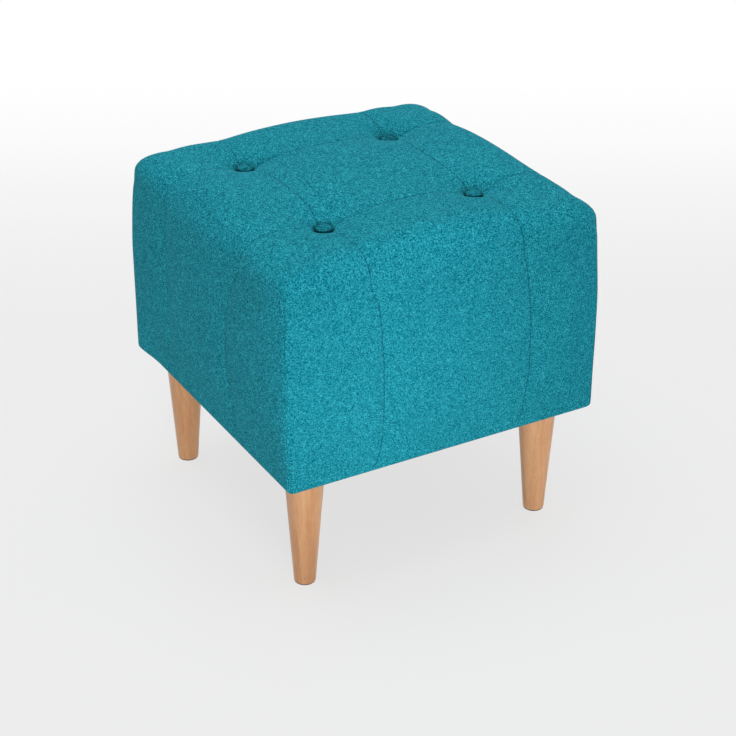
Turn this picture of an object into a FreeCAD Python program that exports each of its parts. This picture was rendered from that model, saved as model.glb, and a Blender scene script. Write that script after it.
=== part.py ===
import FreeCAD, Part
import math
import os

from FreeCAD import Vector

# Tufted pouf on four turned legs.
# Millimetres. +Z is up, the floor is Z = 0 and the Z axis runs up through the middle of the pouf.
# Front is -Y, back is +Y, left is -X and right is +X. The body is square, the same from all four sides.

# Clearances that several pieces share
fit_clearance = 0.1        # between a fastener and its hole, all round
seat_clearance = 0.2       # between the foam and the fabric that is drawn over it
overrun = 5.0              # how far a cutting tool runs past what it cuts

# The fabric body
body_width = 436.0         # between opposite faces at the hem
body_height = 287.0        # from the hem to the crown of the centre pillow
tuft_spacing = 206.0       # between button centres, both ways
fabric_thickness = 1.5
side_swell = 6.0           # how far the middle of a panel stands out past the hem
seam_swell = 2.0           # how far the seam between two panels stands out past the hem
corner_swell = 0.5         # how far the corner seam stands out past the hem
top_draw_in = 3.0          # how far the walls have drawn in again where they turn over
corner_radius = 12.0       # of the upright corners, seen from above
corner_crown_radius = 32.0  # the same, where the corner turns over onto the top
corner_draw = 2.0          # how much further the corner draws in up there than the panels beside it
hem_radius = 4.0           # where the cover turns under
edge_radius = 50.0         # where a panel turns over from the side to the top
edge_crown_drop = 2.5      # how far the crown of an edge pillow lies below the centre one
corner_crown_drop = 4.5
cap_place = 150.0          # from the middle of the body to the crown of an outer pillow
tuft_depth = 22.0          # from the top of the body down to where the tuft pulls the seams
middle_seam_depth = 7.5    # the same for the seams round the centre pillow, half way between tufts
outer_seam_depth = 11.0    # the same for the seams between the outer pillows
edge_seam_depth = 24.0     # the same where a seam starts to turn over the edge
pillow_lap = 2.0           # how far neighbouring pillows run into each other at a seam
pillow_bow = 0.8           # least bow of a pillow's outline
hem_width = 40.0           # what is turned under, from the face inwards

# Turned legs
leg_length = 158.5
leg_top_diameter = 50.0
leg_foot_diameter = 27.0
leg_foot_chamfer = 0.5
leg_inset = 49.7           # from the face of the body at the hem to the axis of the leg

# Nailed glides under the legs
glide_thickness = 1.5
glide_diameter = 26.0
glide_edge_round = 0.5
glide_nail_diameter = 2.5
glide_nail_length = 16.0

# Hanger bolts, and the threaded inserts in the posts that take them
bolt_diameter = 8.0
bolt_in_leg = 38.0
bolt_in_post = 22.0
bolt_tip_chamfer = 1.0
insert_diameter = 12.0
insert_length = 25.0
insert_flange_diameter = 18.0
insert_flange_thickness = 1.5

# Wooden frame
post_width = 45.0
rail_thickness = 20.0
rail_height = 45.0
panel_thickness = 3.0
board_thickness = 15.0
seat_foam_height = 68.0    # from the seat board to the crown of the centre pillow
dowel_diameter = 8.0
dowel_length = 50.0
dowel_chamfer = 1.0
dowels_per_joint = 2

# Countersunk screws through the seat board
screw_diameter = 4.0
screw_length = 40.0
screw_tip_length = 5.0
screw_head_diameter = 8.0
screw_head_height = 2.6
screws_per_side = 3

# Tufts
button_diameter = 23.0
button_rim = 2.2           # height of the button's edge
button_dome = 4.6          # height of the dome over the edge
button_lift = 1.0          # how far the button's back lies above the tuft
button_shank_diameter = 6.0
button_shank_length = 2.5
button_clearance = 0.5     # between the button and the fabric round it
twine_diameter = 2.0
twine_hole_diameter = 8.0  # in the seat board
twine_knot_diameter = 7.0
washer_diameter = 30.0
washer_thickness = 2.0

# Staples
staple_width = 10.0
staple_wire = 0.7
staple_leg = 8.0
hem_staple_margin = 4.0    # from the raw edge of the hem to its staples
hem_staples_per_side = 6
cover_staple_margin = 4.0  # from the outside of the frame to the staples of the dust cover
cover_staples_per_side = 5
panel_staples_per_edge = 5
staple_row_margin = 12.0   # from the end of a row to its first staple

# Dust cover
dust_cover_thickness = 0.6
dust_cover_inset = 16.0    # from the face of the body at the hem to the edge of the dust cover

# Heights and places that follow from the sizes above
half_width = body_width / 2
tuft_place = tuft_spacing / 2
leg_place = half_width - leg_inset
leg_top = glide_thickness + leg_length
hem_level = leg_top + dust_cover_thickness
crown_level = hem_level + body_height
frame_bottom = hem_level + fabric_thickness
board_top = crown_level - seat_foam_height
frame_top = board_top - board_thickness
post_outside = leg_place + post_width / 2
post_inside = leg_place - post_width / 2
panel_outside = post_outside + panel_thickness
rail_middle = post_outside - rail_thickness / 2
hem_edge = half_width - hem_width
tuft_level = crown_level - tuft_depth
middle_seam_level = crown_level - middle_seam_depth
outer_seam_level = crown_level - outer_seam_depth
edge_seam_level = crown_level - edge_seam_depth
seam_line = tuft_place + pillow_lap
outer_seam_line = pillow_lap - tuft_place
button_level = tuft_level + button_lift
shank_level = button_level - button_shank_length
washer_level = frame_top - washer_thickness
knot_level = washer_level - twine_knot_diameter / 2
everything = body_width    # reach of a tool that cuts right across the body

# Names of the four corners and the four sides, in the order of quarter turns about Z
corner_names = ["front_left", "front_right", "back_right", "back_left"]
side_names = ["front", "right", "back", "left"]
quarter = 90.0

# Where the outlines lie that a pillow is lofted through, and how far its walls have swelled out and drawn in
hem_shares = [0.0, 0.3, 1.0]             # of the hem's turn-under
wall_shares = [0.0, 0.25, 0.50, 0.75, 1.0]
wall_swell_shares = [0.0, 0.60, 0.95, 1.0, 0.75]
wall_draw_shares = [0.0, 0.0, 0.10, 0.45, 1.0]
dome_shares = [0.0, 0.22, 0.42, 0.58, 0.72, 0.83, 0.92, 1.0]
centre_cap_share = 0.40                  # size of the flat cap, of the pillow
edge_cap_share = 0.50
outer_cap_share = 0.35
dome_turn = math.radians(80)             # how far a dome turns over up to its cap


def save(name, shape):
    shape.exportStep("parts/" + name + ".step")
    print(name, "solids", len(shape.Solids), "volume", round(shape.Volume), "valid", shape.isValid())


def turned(shape, turns):
    # A copy of a shape, turned about the Z axis by whole quarter turns.
    copy = shape.copy()
    copy.rotate(Vector(0, 0, 0), Vector(0, 0, 1), quarter * turns)
    return copy


def block(low, high):
    # A box between two corners.
    return Part.makeBox(high[0] - low[0], high[1] - low[1], high[2] - low[2], Vector(*low))


def rod(x, y, low, high, diameter):
    # An upright cylinder between two heights.
    return Part.makeCylinder(diameter / 2, high - low, Vector(x, y, low))


def fused(shapes):
    # One solid made of several that overlap or meet.
    if len(shapes) == 1:
        return shapes[0]
    return shapes[0].fuse(shapes[1:]).removeSplitter()


def group(shapes):
    return Part.makeCompound(shapes)


def turned_profile(points):
    # A solid of revolution about Z, from (radius, height) points that start and end on the axis.
    outline = Part.makePolygon([Vector(radius, 0, height) for radius, height in points + points[:1]])
    return Part.Face(outline).revolve(Vector(0, 0, 0), Vector(0, 0, 1), 4 * quarter).Solids[0]


# The padded form. Every pillow is lofted upwards through closed outlines of arcs: round the turned-under
# hem, up the wall, and over the dome. In the dome each point of the outline draws in towards the pillow's
# flat cap by its own rule.


def dome_height(turn, crown):
    # Height of the dome's outline at a share of its turn.
    return crown - edge_radius + edge_radius * math.sin(turn * dome_turn)


def round_in(turn):
    # How far the outside of a pillow has drawn in at a share of the dome's turn, as a quarter round does.
    return (1 - math.cos(turn * dome_turn)) / (1 - math.cos(dome_turn))


def seam_in(turn, valley, crown):
    # How far a point over a seam has drawn in: it stays put up to the seam's valley, then moves evenly.
    start = math.asin((valley - crown + edge_radius) / edge_radius) / dome_turn
    return max(0.0, (turn - start) / (1 - start))


def toward(place, centre, cap_share, drawn):
    return centre + (place - centre) * (1 - (1 - cap_share) * drawn)


def outline(corners, middles, height):
    # A closed outline at one height: each arc runs from a corner through a middle to the next corner.
    edges = []
    for place, middle in enumerate(middles):
        start = Vector(*corners[place], height)
        end = Vector(*corners[(place + 1) % len(corners)], height)
        edges.append(Part.Arc(start, Vector(*middle, height), end).toShape())
    return Part.Wire(edges)


def centre_outline(face, swell, turn):
    # The pillow between the four tufts, which has a seam on each side.
    crown = crown_level
    corner = toward(seam_line, 0, centre_cap_share, seam_in(turn, tuft_level, crown))
    middle = toward(seam_line + pillow_bow, 0, centre_cap_share, seam_in(turn, middle_seam_level, crown))
    corners = [(-corner, -corner), (corner, -corner), (corner, corner), (-corner, corner)]
    middles = [(0, -middle), (middle, 0), (0, middle), (-middle, 0)]
    return corners, middles


def edge_outline(face, swell, turn):
    # The pillow in the middle of the front edge, and the panel below it.
    crown = crown_level - edge_crown_drop
    inside = outer_seam_line
    tuft_in = seam_in(turn, tuft_level, crown)
    tuft_x = toward(seam_line, 0, edge_cap_share, tuft_in)
    tuft_y = toward(inside, -cap_place, outer_cap_share, tuft_in)
    seam_x = toward(seam_line, 0, edge_cap_share, seam_in(turn, edge_seam_level, crown))
    seam_y = toward(face - seam_swell * swell, -cap_place, outer_cap_share, round_in(turn))
    panel_y = toward(face - side_swell * swell, -cap_place, outer_cap_share, round_in(turn))
    side_x = toward(seam_line + pillow_bow, 0, edge_cap_share, seam_in(turn, outer_seam_level, crown))
    middle_in = seam_in(turn, middle_seam_level, crown)
    inner_y = toward(inside + pillow_bow, -cap_place, outer_cap_share, middle_in)
    side_y = (seam_y + tuft_y) / 2
    corners = [(-seam_x, seam_y), (seam_x, seam_y), (tuft_x, tuft_y), (-tuft_x, tuft_y)]
    middles = [(0, panel_y - pillow_bow), (side_x, side_y), (0, inner_y), (-side_x, side_y)]
    return corners, middles


def corner_outline(face, swell, turn):
    # The pillow at the front left corner, and the two panels that meet below it.
    crown = crown_level - corner_crown_drop
    inside = outer_seam_line
    tuft = toward(inside, -cap_place, outer_cap_share, seam_in(turn, tuft_level, crown))
    seam = toward(inside, -cap_place, outer_cap_share, seam_in(turn, edge_seam_level, crown))
    inner = toward(inside + pillow_bow, -cap_place, outer_cap_share, seam_in(turn, outer_seam_level, crown))
    drawn = round_in(turn)
    outer = toward(face - seam_swell * swell, -cap_place, outer_cap_share, drawn)
    panel = toward(face - side_swell * swell, -cap_place, outer_cap_share, drawn) - pillow_bow
    corner = toward(face - corner_swell * swell, -cap_place, outer_cap_share, drawn) + corner_draw * drawn
    radius = corner_radius + (corner_crown_radius - corner_radius) * drawn
    lean = corner + radius * (1 - math.sqrt(0.5))
    arc_end = corner + radius
    along = (seam + arc_end) / 2
    across = (outer + tuft) / 2
    corners = [(arc_end, corner), (seam, outer), (tuft, tuft), (outer, seam), (corner, arc_end)]
    middles = [(along, panel), (inner, across), (across, inner), (panel, along), (lean, lean)]
    return corners, middles


def inset_height(height, inset):
    # The same height on a form that lies inside the fabric body by the inset.
    return hem_level + inset + (height - hem_level) * (body_height - 2 * inset) / body_height


def pillow(outline_at, crown, inset):
    # One pillow with the wall below it, on a form that lies inside the fabric body by the inset.
    face = inset - half_width
    wall_low = hem_level + hem_radius
    wall_high = crown - edge_radius
    hem = []
    for share in hem_shares:
        tuck = hem_radius * (1 - math.cos(math.asin(1 - share)))
        hem.append((face + tuck, 0.0, 0.0, hem_level + share * hem_radius))
    wall = []
    for share, swell, draw in zip(wall_shares, wall_swell_shares, wall_draw_shares):
        wall.append((face + top_draw_in * draw, swell, 0.0, wall_low + share * (wall_high - wall_low)))
    dome = []
    for turn in dome_shares:
        dome.append((face + top_draw_in, wall_swell_shares[-1], turn, dome_height(turn, crown)))
    faces = []
    for rows, ruled in ((hem, True), (wall, False), (dome, True)):
        wires = []
        for place, swell, turn, height in rows:
            corners, middles = outline_at(place, swell, turn)
            wires.append(outline(corners, middles, inset_height(height, inset)))
        faces += Part.makeLoft(wires, False, ruled).Faces
        if rows is hem:
            faces.append(Part.Face(wires[0]))
        if rows is dome:
            faces.append(Part.Face(wires[-1]))
    shell = Part.Shell(faces)
    shell.sewShape()
    solid = Part.Solid(shell)
    if solid.Volume < 0:
        solid.reverse()
    return solid


def tufted_form(inset):
    # The whole padded form, inside the fabric body by the inset: nine pillows that run into each other.
    edge = pillow(edge_outline, crown_level - edge_crown_drop, inset)
    corner = pillow(corner_outline, crown_level - corner_crown_drop, inset)
    pillows = [pillow(centre_outline, crown_level, inset)]
    for turns in range(4):
        pillows.append(turned(edge, turns))
        pillows.append(turned(corner, turns))
    return pillows[0].fuse(pillows[1:])


def mirrored_rows(half_length, count):
    # Places of a row of pieces, evenly spaced about the middle.
    return [half_length * (2 * place / (count - 1) - 1) for place in range(count)]


# Fasteners. Each maker gives a group of loose solids, and a slack all round turns it into the tool that cuts
# their holes.


def staple(slack):
    # A staple that lies along X with its crown on Z = 0 and its legs pointing up.
    half = staple_width / 2
    wire = staple_wire / 2
    crown = block((-half - slack, -wire - slack, -slack), (half + slack, wire + slack, staple_wire + slack))
    legs = []
    for end in (-half, half - staple_wire):
        low = (end - slack, -wire - slack, -slack)
        legs.append(block(low, (end + staple_wire + slack, wire + slack, staple_leg + slack)))
    return fused([crown] + legs)


def staple_ring(place, level, half_length, count, slack):
    # Staples up into the underside of the frame, in a row along each side.
    staples = []
    for x in mirrored_rows(half_length - staple_row_margin, count):
        one = staple(slack)
        one.translate(Vector(x, -place, level))
        staples += [turned(one, turns) for turns in range(4)]
    return staples


def hem_staples(slack):
    # Through the turned-under hem into the bottom rails.
    return staple_ring(hem_edge + hem_staple_margin, hem_level, post_inside, hem_staples_per_side, slack)


def dust_cover_staples(slack):
    # Through the dust cover and the hem into the bottom rails, between the legs.
    place = post_outside - cover_staple_margin
    between_legs = leg_place - leg_top_diameter / 2
    return staple_ring(place, leg_top - staple_wire, between_legs, cover_staples_per_side, slack)


def panel_staples(slack):
    # Through the side panels into the rails, with their crowns flush in the panels.
    staples = []
    for x in mirrored_rows(post_inside - staple_row_margin, panel_staples_per_edge):
        for z in (frame_bottom + rail_height / 2, frame_top - rail_height / 2):
            one = staple(slack)
            one.rotate(Vector(0, 0, 0), Vector(1, 0, 0), -quarter)
            one.translate(Vector(x, -panel_outside, z))
            staples += [turned(one, turns) for turns in range(4)]
    return staples


def dowels(slack):
    # Two in each end of every rail, half in the rail and half in the post.
    radius = dowel_diameter / 2
    half = dowel_length / 2
    low = -half - slack
    high = half + slack
    points = [(0, low), (radius - dowel_chamfer + slack, low), (radius + slack, low + dowel_chamfer)]
    points += [(radius + slack, high - dowel_chamfer), (radius - dowel_chamfer + slack, high), (0, high)]
    pins = []
    for rail_low in (frame_bottom, frame_top - rail_height):
        for place in range(dowels_per_joint):
            height = rail_low + rail_height * (place + 0.5) / dowels_per_joint
            for x in (-post_inside, post_inside):
                pin = turned_profile(points)
                pin.rotate(Vector(0, 0, 0), Vector(0, 1, 0), quarter)
                pin.translate(Vector(x, -rail_middle, height))
                pins += [turned(pin, turns) for turns in range(4)]
    return pins


def board_screws(slack):
    # Down through the seat board into the top rails and the posts, with their heads flush in the board.
    radius = screw_diameter / 2 + slack
    head = screw_head_diameter / 2 + slack
    tip = -screw_length - slack
    points = [(0, tip), (radius, tip + screw_tip_length), (radius, -screw_head_height), (head, 0)]
    if slack:
        points.append((head, overrun))
        points.append((0, overrun))
    else:
        points.append((0, 0))
    places = [(x, -rail_middle) for x in mirrored_rows(post_inside / 2, screws_per_side)]
    places.append((-leg_place, -leg_place))
    screws = []
    for x, y in places:
        screw = turned_profile(points)
        screw.translate(Vector(x, y, board_top))
        screws += [turned(screw, turns) for turns in range(4)]
    return screws


def threaded_insert(slack):
    # In the foot of the front left post, with its flange flush.
    low = frame_bottom - slack
    body = rod(-leg_place, -leg_place, low, frame_bottom + insert_length, insert_diameter + 2 * slack)
    flange_top = frame_bottom + insert_flange_thickness
    flange = rod(-leg_place, -leg_place, low, flange_top, insert_flange_diameter + 2 * slack)
    return fused([body, flange])


def hanger_bolt(slack):
    # Up out of the front left leg and into the insert.
    radius = bolt_diameter / 2 + slack
    low = leg_top - bolt_in_leg - slack
    high = frame_bottom + bolt_in_post + slack
    point = radius - bolt_tip_chamfer
    points = [(0, low), (point, low), (radius, low + bolt_tip_chamfer)]
    points += [(radius, high - bolt_tip_chamfer), (point, high), (0, high)]
    bolt = turned_profile(points)
    bolt.translate(Vector(-leg_place, -leg_place, 0))
    return bolt


def glide(slack):
    # Under the front left leg, with the nail that holds it.
    disc = glide_diameter / 2
    nail = glide_nail_diameter / 2 + slack
    tip = glide_thickness + glide_nail_length + slack
    points = [(0, 0), (disc - glide_edge_round, 0), (disc, glide_edge_round), (disc, glide_thickness)]
    points += [(nail, glide_thickness), (nail, tip - glide_nail_diameter), (0, tip)]
    foot = turned_profile(points)
    foot.translate(Vector(-leg_place, -leg_place, 0))
    return foot


def tuft_tool(low, high, diameter):
    # Upright holes at all four tufts.
    hole = rod(-tuft_place, -tuft_place, low, high, diameter)
    return [turned(hole, turns) for turns in range(4)]


# Pieces of the frame


def reaching(tools, piece):
    # Those of the cutting tools that come near the piece.
    return [tool for tool in tools if tool.BoundBox.intersect(piece.BoundBox)]


def corner_post():
    post = block((-post_outside, -post_outside, frame_bottom), (-post_inside, -post_inside, frame_top))
    holes = [threaded_insert(fit_clearance), hanger_bolt(fit_clearance)]
    return post.cut(holes + dowels(fit_clearance) + board_screws(fit_clearance))


def rail(low):
    # The front rail between two posts, from this height up.
    high = (post_inside, rail_thickness - post_outside, low + rail_height)
    front = block((-post_inside, -post_outside, low), high)
    tools = dowels(fit_clearance) + panel_staples(fit_clearance)
    if low == frame_bottom:
        tools += hem_staples(fit_clearance) + dust_cover_staples(fit_clearance)
    else:
        tools += board_screws(fit_clearance)
    return front.cut(reaching(tools, front))


def side_panel():
    # The front panel. Its left end covers the left panel's edge, and so on round the frame.
    panel = block((-panel_outside, -panel_outside, frame_bottom), (post_outside, -post_outside, frame_top))
    return panel.cut(reaching(panel_staples(fit_clearance), panel))


def seat_board():
    board = block((-panel_outside, -panel_outside, frame_top), (panel_outside, panel_outside, board_top))
    holes = tuft_tool(frame_top - overrun, board_top + overrun, twine_hole_diameter)
    return board.cut(holes + board_screws(fit_clearance))


# Legs


def leg():
    foot = leg_foot_diameter / 2
    top = leg_top_diameter / 2
    points = [(0, glide_thickness), (foot - leg_foot_chamfer, glide_thickness)]
    points += [(foot, glide_thickness + leg_foot_chamfer), (top, leg_top), (0, leg_top)]
    turned_leg = turned_profile(points)
    turned_leg.translate(Vector(-leg_place, -leg_place, 0))
    return turned_leg.cut([hanger_bolt(fit_clearance), glide(fit_clearance)])


def insert_nut():
    return threaded_insert(0).cut(hanger_bolt(fit_clearance))


# Tufts


def tuft_button():
    # A covered button with a rounded dome, and the shank on its back.
    radius = button_diameter / 2
    shank = button_shank_diameter / 2
    rim_level = button_level + button_rim
    sphere = (radius * radius + button_dome * button_dome) / (2 * button_dome)
    half_way = rim_level + button_dome - sphere + math.sqrt(sphere * sphere - radius * radius / 4)
    top = Vector(0, 0, rim_level + button_dome)
    edges = [
        Part.Arc(Vector(radius, 0, rim_level), Vector(radius / 2, 0, half_way), top).toShape(),
        Part.LineSegment(top, Vector(0, 0, shank_level)).toShape(),
        Part.LineSegment(Vector(0, 0, shank_level), Vector(shank, 0, shank_level)).toShape(),
        Part.LineSegment(Vector(shank, 0, shank_level), Vector(shank, 0, button_level)).toShape(),
        Part.LineSegment(Vector(shank, 0, button_level), Vector(radius, 0, button_level)).toShape(),
        Part.LineSegment(Vector(radius, 0, button_level), Vector(radius, 0, rim_level)).toShape(),
    ]
    button = Part.Face(Part.Wire(edges)).revolve(Vector(0, 0, 0), Vector(0, 0, 1), 4 * quarter).Solids[0]
    button.translate(Vector(-tuft_place, -tuft_place, 0))
    return button


def tuft_twine():
    # From the button's shank straight down through the foam, the board and the washer, with the knot below.
    line = rod(-tuft_place, -tuft_place, knot_level, shank_level, twine_diameter)
    knot = Part.makeSphere(twine_knot_diameter / 2, Vector(-tuft_place, -tuft_place, knot_level))
    return fused([line, knot])


def tuft_washer():
    disc = rod(-tuft_place, -tuft_place, washer_level, frame_top, washer_diameter)
    hole = twine_diameter + 2 * fit_clearance
    disc = disc.cut(rod(-tuft_place, -tuft_place, washer_level - overrun, frame_top + overrun, hole))
    return disc.cut(tuft_twine())


# Soft pieces


def pressed_form(inset):
    # The tufted form with the seats that the buttons press into it, and the way in for each shank and twine.
    seat = button_diameter + 2 * button_clearance + 2 * inset
    tools = tuft_tool(button_level - inset, crown_level + overrun, seat)
    return tufted_form(inset).cut(tools)


def fabric_cover():
    cover = pressed_form(0).cut(pressed_form(fabric_thickness))
    way_in = button_shank_diameter + 2 * fit_clearance
    tools = tuft_tool(button_level - overrun, button_level + overrun, way_in)
    low = (-hem_edge, -hem_edge, hem_level - overrun)
    tools.append(block(low, (hem_edge, hem_edge, hem_level + 2 * fabric_thickness)))
    return cover.cut(tools + hem_staples(fit_clearance) + dust_cover_staples(fit_clearance))


def foam_pieces():
    # The seat foam on the board, and the four side foams round the panels.
    form = pressed_form(fabric_thickness + seat_clearance)
    above = block((-everything, -everything, board_top), (everything, everything, crown_level + overrun))
    tools = tuft_tool(shank_level - fit_clearance, crown_level, button_shank_diameter + 2 * fit_clearance)
    tools += tuft_tool(board_top - overrun, crown_level, twine_diameter + 2 * fit_clearance)
    pieces = {"seat_foam": form.common(above).cut(tools)}
    low = hem_level
    front = block((-everything, -everything, low), (everything, -panel_outside, board_top))
    left = block((-everything, -panel_outside, low), (-panel_outside, panel_outside, board_top))
    pieces["side_foam_front"] = form.common(front)
    pieces["side_foam_back"] = turned(pieces["side_foam_front"], 2)
    pieces["side_foam_left"] = form.common(left)
    pieces["side_foam_right"] = turned(pieces["side_foam_left"], 2)
    return pieces


def dust_cover():
    edge = half_width - dust_cover_inset
    sheet = block((-edge, -edge, leg_top), (edge, edge, hem_level))
    bolts = [turned(hanger_bolt(fit_clearance), turns) for turns in range(4)]
    return sheet.cut(bolts + dust_cover_staples(fit_clearance))


os.makedirs("parts", exist_ok=True)

for name, piece in foam_pieces().items():
    save(name, piece)
save("fabric_cover", fabric_cover())
save("dust_cover", dust_cover())
save("seat_board", seat_board())
save("rail_dowels", group(dowels(0)))
save("seat_board_screws", group(board_screws(0)))
save("panel_staples", group(panel_staples(0)))
save("hem_staples", group(hem_staples(0)))
save("dust_cover_staples", group(dust_cover_staples(0)))

for kind, piece in (("bottom_rail", rail(frame_bottom)), ("top_rail", rail(frame_top - rail_height)),
                    ("side_panel", side_panel())):
    for turns, side in enumerate(side_names):
        save(kind + "_" + side, turned(piece, turns))

for kind, piece in (("corner_post", corner_post()), ("leg", leg()), ("leg_glide", glide(0)),
                    ("hanger_bolt", hanger_bolt(0)), ("insert_nut", insert_nut()),
                    ("tuft_button", tuft_button()), ("tuft_twine", tuft_twine()),
                    ("tuft_washer", tuft_washer())):
    for turns, corner in enumerate(corner_names):
        save(kind + "_" + corner, turned(piece, turns))
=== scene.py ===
import bmesh
import bpy
import math
import numpy as np
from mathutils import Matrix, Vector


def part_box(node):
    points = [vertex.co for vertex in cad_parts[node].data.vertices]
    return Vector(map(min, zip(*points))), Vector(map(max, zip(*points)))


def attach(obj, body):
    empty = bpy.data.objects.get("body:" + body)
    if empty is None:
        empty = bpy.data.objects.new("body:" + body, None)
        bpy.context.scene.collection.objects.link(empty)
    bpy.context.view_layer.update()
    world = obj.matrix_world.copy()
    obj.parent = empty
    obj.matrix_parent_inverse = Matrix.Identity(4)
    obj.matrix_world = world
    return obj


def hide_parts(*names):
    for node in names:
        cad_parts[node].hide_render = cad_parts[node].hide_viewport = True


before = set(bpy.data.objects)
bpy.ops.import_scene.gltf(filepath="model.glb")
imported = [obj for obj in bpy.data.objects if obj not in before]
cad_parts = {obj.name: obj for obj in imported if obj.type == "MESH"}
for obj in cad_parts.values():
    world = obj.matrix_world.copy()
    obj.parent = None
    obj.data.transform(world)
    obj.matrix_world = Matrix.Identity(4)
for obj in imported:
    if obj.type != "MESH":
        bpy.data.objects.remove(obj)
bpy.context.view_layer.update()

# Tufted pouf, in metres. +Z is up, front is -Y, left is -X, as in the frame.


# How nodes and meshes are put together

def addNode(tree, kind, inputs=None, **settings):
    # an input is a plain value, or a socket that gets linked to it
    node = tree.nodes.new(kind)
    for name, value in settings.items():
        setattr(node, name, value)
    for name, value in (inputs or {}).items():
        if isinstance(value, bpy.types.NodeSocket):
            tree.links.new(value, node.inputs[name])
        else:
            node.inputs[name].default_value = value
    return node


def maths(tree, operation, first, second=0.5):
    return addNode(tree, "ShaderNodeMath", {0: first, 1: second}, operation=operation).outputs[0]


def times(tree, first, second):
    return maths(tree, "MULTIPLY", first, second)


def plus(tree, first, second):
    return maths(tree, "ADD", first, second)


def scaled(tree, vector, by):
    return addNode(tree, "ShaderNodeVectorMath", {0: vector, "Scale": by}, operation="SCALE").outputs[0]


def rangeOf(tree, value, low, high, toLow=0.0, toHigh=1.0, smooth=False):
    inputs = {"Value": value, "From Min": low, "From Max": high, "To Min": toLow, "To Max": toHigh}
    kind = "SMOOTHSTEP" if smooth else "LINEAR"
    return addNode(tree, "ShaderNodeMapRange", inputs, interpolation_type=kind).outputs["Result"]


def mixColours(tree, share, first, second):
    first, second = ((*value, 1) if isinstance(value, tuple) else value for value in (first, second))
    return addNode(tree, "ShaderNodeMix", {0: share, 6: first, 7: second}, data_type="RGBA").outputs[2]


def noise(tree, place, scale, detail=2.0, roughness=0.5, distortion=0.0):
    inputs = {"Vector": place, "Scale": scale, "Detail": detail, "Roughness": roughness,
              "Distortion": distortion}
    return addNode(tree, "ShaderNodeTexNoise", inputs).outputs["Fac"]


def stretched(tree, place, scale, turn=(0, 0, 0)):
    inputs = {"Vector": place, "Scale": scale, "Rotation": turn}
    return addNode(tree, "ShaderNodeMapping", inputs).outputs["Vector"]


def attribute(tree, name):
    return addNode(tree, "ShaderNodeAttribute", attribute_name=name).outputs["Fac"]


def apart(tree, vector):
    return addNode(tree, "ShaderNodeSeparateXYZ", {0: vector}).outputs


def objectPlace(tree):
    return tree.nodes.new("ShaderNodeTexCoord").outputs["Object"]


def seenRays(tree):
    # 1 where the camera or a reflection looks, 0 where light falls
    rays = tree.nodes.new("ShaderNodeLightPath").outputs
    return maths(tree, "MAXIMUM", rays["Is Camera Ray"], rays["Is Glossy Ray"])


def shaderGroup(name, size, results):
    # an empty group that takes a place and one size, and gives numbers
    tree = bpy.data.node_groups.new(name, "ShaderNodeTree")
    tree.interface.new_socket(name="Place", in_out="INPUT", socket_type="NodeSocketVector")
    tree.interface.new_socket(name=size, in_out="INPUT", socket_type="NodeSocketFloat")
    for label in results:
        tree.interface.new_socket(name=label, in_out="OUTPUT", socket_type="NodeSocketFloat")
    return tree, tree.nodes.new("NodeGroupInput").outputs, tree.nodes.new("NodeGroupOutput").inputs


def useGroup(tree, group, place, size):
    return addNode(tree, "ShaderNodeGroup", {0: place, 1: size}, node_tree=group).outputs


def newMaterial(name, **shaderValues):
    # a material with one Principled shader, its node tree and the shader
    material = bpy.data.materials.new(name)
    material.use_nodes = True
    tree = material.node_tree
    shader = tree.nodes["Principled BSDF"]
    for socket, value in shaderValues.items():
        shader.inputs[socket.replace("_", " ")].default_value = value
    return material, tree, shader


def paint(tree, shader, colour, height, relief, strength=1.0):
    # the shader's colour, and its bump
    bump = addNode(tree, "ShaderNodeBump", {"Height": height, "Strength": strength, "Distance": relief})
    tree.links.new(bump.outputs["Normal"], shader.inputs["Normal"])
    tree.links.new(colour, shader.inputs["Base Color"])


def newObject(name, data):
    thing = bpy.data.objects.new(name, data)
    bpy.context.scene.collection.objects.link(thing)
    return thing


def newPiece(name, points, faces, material=None):
    mesh = bpy.data.meshes.new(name)
    mesh.from_pydata([tuple(p) for p in points], [], faces)
    mesh.update()
    if faces:
        mesh.polygons.foreach_set("use_smooth", [True] * len(mesh.polygons))
    if material:
        mesh.materials.append(material)
    return newObject(name, mesh)


def settle(piece):
    # turns a piece's modifiers into plain mesh
    depsgraph = bpy.context.evaluated_depsgraph_get()
    mesh = bpy.data.meshes.new_from_object(piece.evaluated_get(depsgraph), preserve_all_data_layers=True,
                                           depsgraph=depsgraph)
    old = piece.data
    piece.modifiers.clear()
    piece.data = mesh
    bpy.data.meshes.remove(old)
    mesh.name = piece.name


def vectorsOf(items, name):
    flat = np.zeros(len(items) * 3)
    items.foreach_get(name, flat)
    return flat.reshape(-1, 3)


def pointsOf(mesh):
    return vectorsOf(mesh.vertices, "co")


def normalsOf(mesh):
    return vectorsOf(mesh.vertex_normals, "vector")


def setPoints(mesh, points):
    mesh.vertices.foreach_set("co", np.asarray(points, float).ravel())
    mesh.update()


def setAttribute(mesh, name, values):
    mesh.attributes.new(name, "FLOAT", "POINT").data.foreach_set("value", np.asarray(values, float))


def getAttributes(mesh, *names):
    found = []
    for name in names:
        values = np.zeros(len(mesh.vertices))
        mesh.attributes[name].data.foreach_get("value", values)
        found.append(values)
    return found


def smoothStep(value, low, high):
    share = np.clip((value - low) / (high - low), 0, 1)
    return share * share * (3 - 2 * share)


def stepFrom(value, base, run):
    # the same, where the run is measured from a base
    return smoothStep(value, base + run[0], base + run[1])


def hump(value, reach):
    # 1 in the middle, and down to 0 at the reach
    return np.cos(np.clip(value / reach, -1, 1) * math.pi / 2)


# Shared shader groups. A pair of numbers is the range of a noise that is spread over 0 to 1.

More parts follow.
